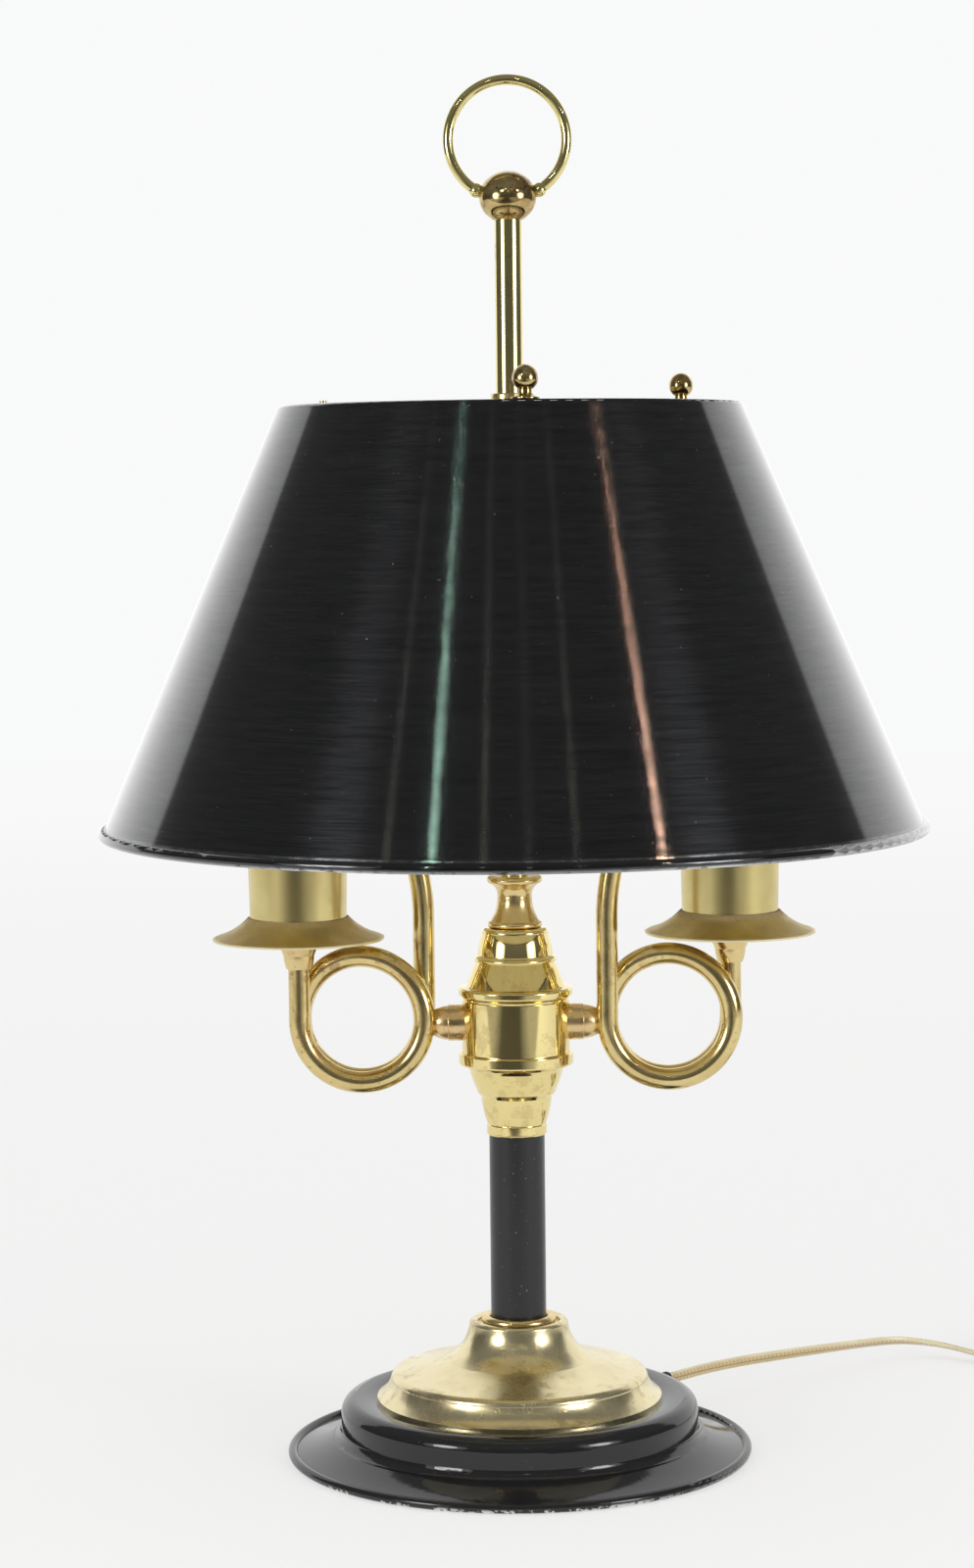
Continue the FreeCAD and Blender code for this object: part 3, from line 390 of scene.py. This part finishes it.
# Stem tube.
# Steel tube, enamelled black with less gloss than the pan. One knock near its foot shows
# the white primer.
stem_enamel, tree, shader = finish("satin_black_enamel", (0.012, 0.012, 0.013), 0.3)
point = place_of(tree)
knock = add(tree, "VectorMath", {0: point, 1: (-0.0068, -0.0097, 0.0575)}, operation="SUBTRACT").outputs[0]
knock = add(tree, "VectorMath", {0: knock, 1: (1.0, 1.0, 0.55)}, operation="MULTIPLY").outputs[0]
reach = add(tree, "VectorMath", {0: knock}, operation="LENGTH").outputs["Value"]
ragged = number(tree, "MULTIPLY_ADD", grain(tree, point, 900.0, 2.0), 0.0016, reach)
knocked = span(tree, ragged, 0.00175, 0.0015)
specks = span(tree, grain(tree, point, 1300.0, 1.0), 0.76, 0.79, 0.0, 0.4)
pale_marks = number(tree, "MAXIMUM", knocked, specks)
tree.links.new(tint(tree, pale_marks, (0.012, 0.012, 0.013), (0.72, 0.71, 0.66)), shader.inputs["Base Color"])
rubbed = span(tree, grain(tree, point, 30.0, 4.0, 0.6), 0.3, 0.75, 0.22, 0.36)
tree.links.new(rubbed, shader.inputs["Roughness"])
relief(tree, shader, grain(tree, point, 380.0, 2.0), 0.00002)
dress(stem_enamel, "stem_tube")

# Rod, ball and carrying ring.
# A polished brass tube that the shade slides on, a squashed brass ball on its end, and a
# ring of brass wire soldered into two small sockets of the ball.
rod_brass = brass("rod_brass", (0.82, 0.71, 0.32), (0.72, 0.58, 0.24), (0.32, 0.20, 0.08),
                  0.10, 0.4, 0.3, 55.0)
dress(rod_brass, "rod", "ring_handle")
ball_brass = brass("brown_ball_brass", (0.62, 0.50, 0.22), (0.34, 0.20, 0.08), (0.16, 0.08, 0.04),
                   0.13, 1.0, 0.8, 110.0)
dress(ball_brass, "ball_finial", "shade_nuts")

# Horn arms.
# Brass tube drawn thin and wound one and a half turns as a hunting horn, with a turned
# mouthpiece. Brown blotches stand where the lacquer has gone.
horn_brass = brass("horn_brass", (0.76, 0.62, 0.29), (0.64, 0.47, 0.20), (0.36, 0.19, 0.08),
                   0.2, 0.9, 0.55, 60.0)
dress(horn_brass, "horn_left", "horn_right")

# Drip pans.
# Shallow dishes of spun brass sheet, left dull, with a painted highlight along the outer rim.
# Dust lies on them, thickest as a brown ring round the foot of the right-hand cup.
for side in ("left", "right"):
    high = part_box("bobeche_" + side)[1]
    axis = middle_of("bobeche_" + side)
    dust_share = 0.55 if side == "left" else 1.0
    dish_brass, tree, shader = finish("dull_brass_" + side, (0.56, 0.45, 0.19), 0.42, Metallic=1.0)
    point = place_of(tree)
    at = along_axes(tree, point)
    radius = out_from_axis(tree, at["X"], at["Y"], axis)
    clouds = grain(tree, point, 70.0, 5.0, 0.6)
    metal = tint(tree, span(tree, clouds, 0.35, 0.7), (0.62, 0.50, 0.22), (0.48, 0.36, 0.14))
    # A pale line along the outer rim of each pan is a painted highlight of the sheet's edge.
    painted_rim_highlight = span(tree, radius, high.x - axis[0] - 0.0012, high.x - axis[0] - 0.0004)
    metal = tint(tree, painted_rim_highlight, metal, (0.80, 0.72, 0.46))
    fluff = number(tree, "MULTIPLY_ADD", grain(tree, point, 700.0, 4.0, 0.7), 0.006, radius)
    ring_dust = span(tree, fluff, 0.0275, 0.0240, 0.0, dust_share)
    upper_face = span(tree, at["Z"], high.z - 0.0105, high.z - 0.0085)
    dusty = number(tree, "MULTIPLY", ring_dust, upper_face)
    tree.links.new(tint(tree, dusty, metal, (0.34, 0.25, 0.15)), shader.inputs["Base Color"])
    tree.links.new(span(tree, dusty, 0.0, 1.0, 1.0, 0.15), shader.inputs["Metallic"])
    dull = span(tree, clouds, 0.3, 0.7, 0.32, 0.46)
    tree.links.new(add(tree, "Mix", {0: dusty, 2: dull, 3: 0.95}).outputs[0], shader.inputs["Roughness"])
    fuzz = number(tree, "MULTIPLY", grain(tree, point, 1600.0, 3.0, 0.7), dusty)
    relief(tree, shader, number(tree, "MULTIPLY_ADD", clouds, 0.2, fuzz), 0.0002)
    dress(dish_brass, "bobeche_" + side)

# Candle cups.
# Plain brass cups of thin sheet, satin from turning, each screwed down in its drip pan by a
# nut on the nipple.
for side in ("left", "right"):
    cup_brass, tree, shader = finish("satin_brass_" + side, (0.72, 0.60, 0.27), 0.25, Metallic=1.0,
                                     Anisotropic=0.3)
    point = place_of(tree)
    at = along_axes(tree, point)
    clouds = grain(tree, point, 55.0, 5.0, 0.6)
    metal = tint(tree, span(tree, clouds, 0.35, 0.7), (0.74, 0.63, 0.29), (0.66, 0.54, 0.23))
    pits = span(tree, grain(tree, point, 1400.0, 2.0), 0.72, 0.78, 0.0, 0.4)
    tree.links.new(tint(tree, pits, metal, (0.25, 0.18, 0.08)), shader.inputs["Base Color"])
    rings = add(tree, "CombineXYZ", {0: number(tree, "MULTIPLY", at["X"], 0.02), 2: at["Z"]}).outputs[0]
    turned = grain(tree, rings, 2400.0, 2.0)
    tree.links.new(span(tree, clouds, 0.3, 0.7, 0.23, 0.27), shader.inputs["Roughness"])
    tangent = add(tree, "Tangent", direction_type="RADIAL", axis="Z")
    tree.links.new(tangent.outputs[0], shader.inputs["Tangent"])
    relief(tree, shader, turned, 0.000004)
    dress(cup_brass, "candle_cup_" + side)

# Lamp sockets.
# A brass-plated cap and shell round a black moulded core. The core holds a screw shell of
# rolled nickel-plated brass, a spring contact and the shaft of the ribbed turn knob.


def ribbed_turning(name, stations, sides, ribs):
    """A closed turned piece along X from stations of distance, radius and depth of its ribs."""
    work = bmesh.new()
    bmesh.ops.create_circle(work, segments=sides, radius=stations[0][1], cap_ends=True)
    bmesh.ops.translate(work, vec=(0, 0, stations[0][0]), verts=work.verts)
    edges = list(work.edges)
    reached = stations[0][0]
    for along, radius, rib in stations[1:]:
        grown = bmesh.ops.extrude_edge_only(work, edges=edges)["geom"]
        ring = [item for item in grown if isinstance(item, bmesh.types.BMVert)]
        edges = [item for item in grown if isinstance(item, bmesh.types.BMEdge)]
        bmesh.ops.translate(work, vec=(0, 0, along - reached), verts=ring)
        reached = along
        for vertex in ring:
            turned = math.atan2(vertex.co.y, vertex.co.x)
            pressed = 0.5 - 0.5 * math.cos(ribs * turned)
            share = (radius - rib * pressed) / vertex.co.xy.length
            vertex.co.x *= share
            vertex.co.y *= share
    bmesh.ops.contextual_create(work, geom=edges)
    bmesh.ops.rotate(work, matrix=Matrix.Rotation(math.pi / 2, 3, "Y"), verts=work.verts)
    bmesh.ops.recalc_face_normals(work, faces=work.faces)
    mesh = bpy.data.meshes.new(name)
    work.to_mesh(mesh)
    for face in mesh.polygons:
        face.use_smooth = len(face.vertices) == 4
    piece = bpy.data.objects.new(name, mesh)
    bpy.context.scene.collection.objects.link(piece)
    return piece


plated = brass("plated_brass", (0.82, 0.68, 0.34), (0.74, 0.58, 0.27), (0.30, 0.20, 0.09),
               0.18, 0.5, 0.5, 60.0)
dress(plated, "socket_cap_left", "socket_cap_right", "socket_shell_left", "socket_shell_right",
      "centre_contact_left", "centre_contact_right")

phenolic, tree, shader = finish("black_phenolic", (0.02, 0.018, 0.016), 0.35)
point = place_of(tree)
flow = grain(tree, point, 160.0, 5.0, 0.6)
tree.links.new(tint(tree, flow, (0.012, 0.01, 0.009), (0.036, 0.03, 0.026)), shader.inputs["Base Color"])
tree.links.new(span(tree, flow, 0.3, 0.7, 0.26, 0.46), shader.inputs["Roughness"])
relief(tree, shader, grain(tree, point, 700.0, 2.0), 0.00003)
dress(phenolic, "socket_core_left", "socket_core_right")

nickel, tree, shader = finish("rolled_nickel", (0.72, 0.69, 0.62), 0.24, Metallic=1.0)
point = place_of(tree)
rolled = grain(tree, point, 130.0, 4.0, 0.6)
tree.links.new(tint(tree, rolled, (0.78, 0.75, 0.68), (0.60, 0.55, 0.46)), shader.inputs["Base Color"])
tree.links.new(span(tree, rolled, 0.3, 0.7, 0.18, 0.34), shader.inputs["Roughness"])
relief(tree, shader, grain(tree, point, 900.0, 2.0), 0.00002)

shell_pitch = 0.0036
shell_groove = 0.0009
shell_wall = 0.0004
steps_per_turn = 48
groove_steps = 8
merge_distance = 0.00002
for side in ("left", "right"):
    low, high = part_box("screw_shell_" + side)
    outer_radius = (high.x - low.x) / 2
    turns_rolled = math.ceil((high.z - low.z) / shell_pitch) + 2
    work = bmesh.new()
    profile = []
    for k in range(groove_steps + 1):
        wave = 0.5 - 0.5 * math.cos(2 * math.pi * k / groove_steps)
        rolled_in = outer_radius - shell_groove * wave
        profile.append(work.verts.new((rolled_in, 0, shell_pitch * (k / groove_steps - 1))))
    edges = [work.edges.new(pair) for pair in zip(profile, profile[1:])]
    bmesh.ops.spin(work, geom=profile + edges, cent=(0, 0, 0), axis=(0, 0, 1),
                   dvec=(0, 0, shell_pitch / steps_per_turn), angle=2 * math.pi * turns_rolled,
                   steps=steps_per_turn * turns_rolled, use_merge=False)
    bmesh.ops.remove_doubles(work, verts=work.verts, dist=merge_distance)
    for level, way in ((0.0, -1), (high.z - low.z, 1)):
        bmesh.ops.bisect_plane(work, geom=work.verts[:] + work.edges[:] + work.faces[:], dist=0.0,
                               plane_co=(0, 0, level), plane_no=(0, 0, way), clear_outer=True)
    bmesh.ops.recalc_face_normals(work, faces=work.faces)
    middle = ((low.x + high.x) / 2, (low.y + high.y) / 2, low.z)
    bmesh.ops.translate(work, vec=middle, verts=work.verts)
    shell_mesh = bpy.data.meshes.new("screw_shell_rolled_" + side)
    work.to_mesh(shell_mesh)
    for face in shell_mesh.polygons:
        face.use_smooth = True
    rolled_shell = bpy.data.objects.new("screw_shell_rolled_" + side, shell_mesh)
    bpy.context.scene.collection.objects.link(rolled_shell)
    wall = rolled_shell.modifiers.new("wall", "SOLIDIFY")
    wall.thickness = shell_wall
    wall.offset = -1.0
    shell_mesh.materials.append(nickel)
    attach(rolled_shell, "lamp")
    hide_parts("screw_shell_" + side)

bakelite, tree, shader = finish("brown_black_bakelite", (0.025, 0.016, 0.012), 0.22, Coat_Weight=0.3)
point = place_of(tree)
mottle = grain(tree, point, 210.0, 5.0, 0.65)
tree.links.new(tint(tree, mottle, (0.014, 0.01, 0.008), (0.05, 0.026, 0.016)), shader.inputs["Base Color"])
tree.links.new(span(tree, mottle, 0.3, 0.7, 0.16, 0.34), shader.inputs["Roughness"])
relief(tree, shader, grain(tree, point, 800.0, 2.0), 0.00003)
knob_stations = [
    (0.0, 0.0016, 0),
    (0.0139, 0.0016, 0),
    (0.014, 0.0040, 0),
    (0.0143, 0.0044, 0),
    (0.0148, 0.0046, 0.0002),
    (0.0160, 0.0045, 0.0007),
    (0.0200, 0.0043, 0.0008),
    (0.0225, 0.0048, 0.0008),
    (0.0242, 0.0052, 0.0006),
    (0.0250, 0.0051, 0.0002),
    (0.0256, 0.0046, 0),
    (0.0259, 0.0037, 0),
    (0.0260, 0.0020, 0),
]
knob_sides = 96
knob_ribs = 16
for side, facing in (("left", math.pi), ("right", 0.0)):
    low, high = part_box("turn_knob_" + side)
    knob = ribbed_turning("turn_knob_ribbed_" + side, knob_stations, knob_sides, knob_ribs)
    shaft_end = Vector((low.x if side == "right" else high.x, (low.y + high.y) / 2, (low.z + high.z) / 2))
    knob.data.transform(Matrix.Translation(shaft_end) @ Matrix.Rotation(facing, 4, "Z"))
    knob.data.materials.append(bakelite)
    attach(knob, "knob_" + side)
    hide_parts("turn_knob_" + side)

# Shade.
# Spun aluminium cone with a rolled bead below and a turned-in lip above. Outside it is
# brushed round and lacquered deep black, inside it is painted ivory. A pale band along the
# bead's lower edge is partly wear to bare metal and partly a painted reflection of the table,
# with dust in the groove above it.
shade_low, shade_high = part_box("shade")
bead_radius = 0.0022
cone_bottom_radius = shade_high.x - bead_radius
cone_top_radius = 0.0986
cone_height = shade_high.z - shade_low.z - bead_radius - 0.0016
cone_slope = (cone_bottom_radius - cone_top_radius) / cone_height
shade_lacquer, tree, shader = finish("brushed_black_lacquer", (0.03, 0.03, 0.031), 0.16, Metallic=1.0,
                                     Anisotropic=1.0, Anisotropic_Rotation=0.25,
                                     Coat_Weight=1.0, Coat_Roughness=0.025, Coat_IOR=1.5)
point = place_of(tree)
at = along_axes(tree, point)
radius = out_from_axis(tree, at["X"], at["Y"])
height = number(tree, "SUBTRACT", at["Z"], shade_low.z)
above_bead_middle = number(tree, "SUBTRACT", height, bead_radius)
cone_here = number(tree, "MULTIPLY_ADD", above_bead_middle, -cone_slope, cone_bottom_radius)
depth = number(tree, "SUBTRACT", cone_here, radius)
below_top = number(tree, "SUBTRACT", shade_high.z, at["Z"])
past_sheet = span(tree, depth, 0.00062, 0.0007)
inside = number(tree, "MULTIPLY", past_sheet, span(tree, below_top, 0.00062, 0.0007))
painted_inside = number(tree, "MULTIPLY", inside, span(tree, height, 0.0040, 0.0046))
turn = number(tree, "ARCTAN2", at["Y"], at["X"])
brush_lines = add(tree, "CombineXYZ", {0: number(tree, "MULTIPLY", turn, 0.006), 2: at["Z"]}).outputs[0]
fine_lines = grain(tree, brush_lines, 1500.0, 3.0, 0.65)
wide_lines = grain(tree, brush_lines, 420.0, 2.0, 0.5)
streaky = number(tree, "MULTIPLY_ADD", wide_lines, 0.6, fine_lines)
black = tint(tree, span(tree, streaky, 0.62, 1.0), (0.013, 0.014, 0.0155), (0.047, 0.048, 0.051))
wear_grain = grain(tree, point, 190.0, 4.0, 0.65)
# The pale band at the foot of the bead is partly wear to bare metal and partly a painted reflection of the
# table.
bead_wear_and_painted_reflection = number(tree, "MULTIPLY", span(tree, height, 0.0014, 0.0005), span(tree, wear_grain, 0.36, 0.5))
groove = number(tree, "MULTIPLY", span(tree, height, 0.0056, 0.0048), span(tree, height, 0.0042, 0.0046))
settled = span(tree, grain(tree, point, 160.0, 4.0, 0.7), 0.3, 0.66, 0.1, 0.4)
groove_dust = number(tree, "MULTIPLY", groove, settled)
specks = span(tree, grain(tree, point, 620.0, 2.0, 0.55), 0.735, 0.77, 0.0, 0.35)
pale_marks = number(tree, "MAXIMUM", bead_wear_and_painted_reflection, number(tree, "MAXIMUM", groove_dust, specks))
outside = tint(tree, pale_marks, black, (0.55, 0.55, 0.55))
brushed_on = grain(tree, point, 26.0, 4.0, 0.6)
ivory = tint(tree, span(tree, brushed_on, 0.35, 0.7), (0.90, 0.86, 0.74), (0.85, 0.80, 0.66))
tree.links.new(tint(tree, painted_inside, outside, ivory), shader.inputs["Base Color"])
tree.links.new(span(tree, painted_inside, 0.0, 1.0, 1.0, 0.0), shader.inputs["Metallic"])
matt = number(tree, "MAXIMUM", painted_inside, pale_marks)
tree.links.new(span(tree, matt, 0.0, 1.0, 0.16, 0.5), shader.inputs["Roughness"])
tree.links.new(span(tree, matt, 0.0, 1.0, 1.0, 0.1), shader.inputs["Coat Weight"])
tangent = add(tree, "Tangent", direction_type="RADIAL", axis="Z")
tree.links.new(tangent.outputs[0], shader.inputs["Tangent"])
short_lines = grain(tree, point, 900.0, 2.0, 0.6)
relief(tree, shader, number(tree, "MULTIPLY_ADD", short_lines, 1.6, streaky), 0.0000035)
dress(shade_lacquer, "shade")

# Shade spider, clamp and thumbscrew.
# The shade hangs on a brass hub with three flat arms. A clamp ring under the hub is held on
# the rod by a knurled thumbscrew.
spider_brass = brass("spider_brass", (0.74, 0.60, 0.29), (0.62, 0.47, 0.20), (0.28, 0.17, 0.07),
                     0.26, 0.7, 0.5, 70.0)
dress(spider_brass, "spider", "slide_collar")
knurled_brass = brass("knurled_brass", (0.78, 0.63, 0.30), (0.66, 0.50, 0.22), (0.28, 0.17, 0.07),
                      0.2, 0.6, 0.5, 120.0)
low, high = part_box("thumbscrew")
screw_reach = high.y - low.y
screw_stations = [
    (0.0, 0.0014, 0),
    (0.0004, 0.0019, 0),
    (screw_reach - 0.0047, 0.0019, 0),
    (screw_reach - 0.0046, 0.0052, 0),
    (screw_reach - 0.0042, 0.0060, 0.0001),
    (screw_reach - 0.0038, 0.0064, 0.0004),
    (screw_reach - 0.0008, 0.0064, 0.0004),
    (screw_reach - 0.0004, 0.0060, 0.0001),
    (screw_reach, 0.0052, 0),
    (screw_reach - 0.0002, 0.0034, 0),
    (screw_reach - 0.0007, 0.0010, 0),
]
screw_sides = 192
screw_knurls = 32
thumbscrew = ribbed_turning("thumbscrew_knurled", screw_stations, screw_sides, screw_knurls)
screw_tip = Vector(((low.x + high.x) / 2, low.y, (low.z + high.z) / 2))
thumbscrew.data.transform(Matrix.Translation(screw_tip) @ Matrix.Rotation(math.pi / 2, 4, "Z"))
thumbscrew.data.materials.append(knurled_brass)
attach(thumbscrew, "clamp_screw")
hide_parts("thumbscrew")

# Cord.
# Flat two-core lamp cord in clear gold plastic, with the twisted copper showing through. It
# leaves the drum through its bushing, arcs to the table and is wound in a tied coil.
cord_width = 0.0056
cord_thickness = 0.0031
bushing_height = 0.013
relief_end = 0.0986
cord_route = [
    (0.0769, 0.0825, 0.0130),
    (0.0887, 0.0950, 0.0127),
    (0.1050, 0.1093, 0.0121),
    (0.1265, 0.1246, 0.0114),
    (0.1515, 0.1426, 0.0102),
    (0.1785, 0.1615, 0.0086),
    (0.1926, 0.1634, 0.0072),
    (0.2062, 0.1592, 0.0057),
    (0.2166, 0.1498, 0.0046),
]
cord_exit = (relief_end * math.cos(bushing_angle), relief_end * math.sin(bushing_angle), bushing_height)
coil_level = 0.00385
coil_lead_in = 0.036
coil_heading = math.radians(-42.0)
coil_turns = 7.02
coil_inner_radius = 0.024
coil_pitch = 0.00605
reversal = coil_turns / 2
coil_outer_radius = coil_inner_radius + coil_pitch * reversal
heading_way = Vector((math.cos(coil_heading), math.sin(coil_heading), 0))
route_end = Vector(cord_route[-1])
coil_start = route_end + heading_way * coil_lead_in
coil_start.z = coil_level
lead_half = (route_end + coil_start) / 2 + Vector((0.00035, 0.0003, 0))
lead_half.z = coil_level + 0.0002
coil_way = (coil_start - lead_half).normalized()
coil_phase = math.atan2(coil_way.y, coil_way.x) - math.pi / 2
coil_first = coil_start + coil_way * cord_width
coil_first.z = coil_level
coil_centre = coil_first - Vector((math.cos(coil_phase), math.sin(coil_phase), 0)) * coil_outer_radius


def coil_point(turn):
    """Middle of the cord after so many turns: in on the lower layer, out on the upper."""
    radius = coil_inner_radius + coil_pitch * abs(turn - reversal)
    climb = min(max((turn - reversal + 0.25) / 0.5, 0.0), 1.0)
    rise = coil_pitch * climb * climb * (3 - 2 * climb)
    angle = coil_phase + 2 * math.pi * turn
    return coil_centre + Vector((radius * math.cos(angle), radius * math.sin(angle), rise))


points_per_turn = 16
coil_steps = int(coil_turns * points_per_turn)
last_way = (coil_point(coil_turns) - coil_point(coil_turns - 0.02)).normalized()
tail_length = 0.026
coil_last = coil_point(coil_turns)
tail_end = coil_last + last_way * (cord_width + tail_length)
cord_points = [Vector(cord_exit)] + [Vector(point) for point in cord_route] + [lead_half, coil_start]
cord_points += [coil_point(coil_turns * step / coil_steps) for step in range(coil_steps + 1)]
cord_points += [coil_last + last_way * cord_width, tail_end]
line_data = bpy.data.curves.new("cord_line", "CURVE")
line_data.dimensions = "3D"
line_data.resolution_u = 6
spline = line_data.splines.new("NURBS")
spline.points.add(len(cord_points) - 1)
for held, point in zip(spline.points, cord_points):
    held.co = (*point, 1)
spline.order_u = 3
spline.use_endpoint_u = True
line = bpy.data.objects.new("cord_line", line_data)
line_mesh = bpy.data.meshes.new_from_object(line)
cord_path = [vertex.co.copy() for vertex in line_mesh.vertices]
bpy.data.objects.remove(line)


def cord_section(count):
    """Outline of the two cores side by side: two rounds that meet in a shallow groove."""
    ring = []
    for k in range(count):
        angle = 2 * math.pi * k / count
        across = math.copysign(abs(math.cos(angle)) ** 0.8, math.cos(angle))
        swell = 0.74 + 0.26 * math.sin(2 * angle) ** 2
        ring.append((cord_width / 2 * across, cord_thickness / 2 * swell * math.sin(angle), across))
    return ring


def cord_lean(travelled):
    """How far the flat cord is rolled from upright at a place along it, in radians."""
    stops = [(0.0, 12), (0.07, 25), (0.13, 45), (0.17, 70), (0.2, 80), (0.25, 35), (0.28, 0), (9.0, 0)]
    for (a, low), (b, high) in zip(stops, stops[1:]):
        if travelled <= b:
            share = (travelled - a) / (b - a)
            return math.radians(low + (high - low) * share * share * (3 - 2 * share))
    return 0.0


section_corners = 24
section = cord_section(section_corners)
skin = bmesh.new()
along_and_across = skin.loops.layers.uv.new("cord")
rings = []
travels = []
travelled = 0.0
for k, point in enumerate(cord_path):
    before = cord_path[max(k - 1, 0)]
    after = cord_path[min(k + 1, len(cord_path) - 1)]
    travelled += (point - before).length
    way = (after - before).normalized()
    side = way.cross(Vector((0, 0, 1))).normalized()
    top = side.cross(way).normalized()
    lean = cord_lean(travelled)
    broad = top * math.cos(lean) + side * math.sin(lean)
    thin = side * math.cos(lean) - top * math.sin(lean)
    rings.append([skin.verts.new(point + broad * u + thin * v) for u, v, across in section])
    travels.append(travelled)
for n, (ring, following) in enumerate(zip(rings, rings[1:])):
    for k in range(len(section)):
        other = (k + 1) % len(section)
        face = skin.faces.new((ring[k], ring[other], following[other], following[k]))
        places = ((n, k), (n, other), (n + 1, other), (n + 1, k))
        for loop, (step, corner) in zip(face.loops, places):
            loop[along_and_across].uv = (travels[step], section[corner][2] / 2 + 0.5)
skin.faces.new(rings[0])
skin.faces.new(rings[-1])
bmesh.ops.recalc_face_normals(skin, faces=skin.faces)
cord_mesh = bpy.data.meshes.new("lamp_cord")
skin.to_mesh(cord_mesh)
for face in cord_mesh.polygons:
    face.use_smooth = True
lamp_cord = bpy.data.objects.new("lamp_cord", cord_mesh)
bpy.context.scene.collection.objects.link(lamp_cord)
insulation, tree, shader = finish("clear_gold_insulation", (0.62, 0.49, 0.24), 0.2, Coat_Weight=0.6,
                                  Coat_Roughness=0.08, Subsurface_Weight=0.2, Subsurface_Scale=0.002)
lie = add(tree, "SeparateXYZ", {0: add(tree, "UVMap", uv_map="cord").outputs[0]}).outputs
off_middle = number(tree, "ABSOLUTE", number(tree, "MULTIPLY_ADD", lie["Y"], 2.0, -1.0))
slant = number(tree, "MULTIPLY", off_middle, 5.0)
twist = number(tree, "SINE", number(tree, "MULTIPLY_ADD", lie["X"], 2600.0, slant))
copper = tint(tree, span(tree, twist, -1.0, 1.0), (0.50, 0.36, 0.15), (0.68, 0.53, 0.27))
# In the groove along the middle, between the two cores, the colour darkens to a painted shade.
copper_with_groove_shade = tint(tree, span(tree, off_middle, 0.03, 0.2), (0.30, 0.21, 0.08), copper)
edge = tint(tree, span(tree, off_middle, 0.62, 0.98), copper_with_groove_shade, (0.80, 0.74, 0.52))
dirt = span(tree, grain(tree, place_of(tree), 90.0, 4.0, 0.6), 0.4, 0.8, 0.0, 0.35)
tree.links.new(tint(tree, dirt, edge, (0.42, 0.34, 0.18)), shader.inputs["Base Color"])
relief(tree, shader, twist, 0.00003)
cord_mesh.materials.append(insulation)
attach(lamp_cord, "lamp")
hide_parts("cord_run", "cord_coil", "cord_tail")

# Plug and tie of the put-away cord.
# A moulded two-blade plug in the gold plastic of the cord, and a black coated wire tie.
moulded, tree, shader = finish("moulded_gold_plastic", (0.52, 0.42, 0.22), 0.3, Coat_Weight=0.2)
point = place_of(tree)
swirl = grain(tree, point, 60.0, 5.0, 0.6)
tree.links.new(tint(tree, swirl, (0.42, 0.33, 0.16), (0.62, 0.51, 0.28)), shader.inputs["Base Color"])
tree.links.new(span(tree, swirl, 0.3, 0.7, 0.24, 0.42), shader.inputs["Roughness"])
grips = add(tree, "TexWave", {"Vector": point, "Scale": 130.0, "Distortion": 0.0}, wave_profile="SIN")
relief(tree, shader, grips.outputs["Fac"], 0.0004)
dress(moulded, "plug_body")
dress(nickel, "plug_blades")

tie_coat, tree, shader = finish("black_tie_coat", (0.02, 0.02, 0.021), 0.4)
point = place_of(tree)
creases = grain(tree, point, 330.0, 4.0, 0.7)
tree.links.new(tint(tree, creases, (0.014, 0.014, 0.015), (0.05, 0.05, 0.052)), shader.inputs["Base Color"])
tree.links.new(span(tree, creases, 0.3, 0.7, 0.3, 0.5), shader.inputs["Roughness"])
relief(tree, shader, creases, 0.0003)
dress(tie_coat, "cord_tie")
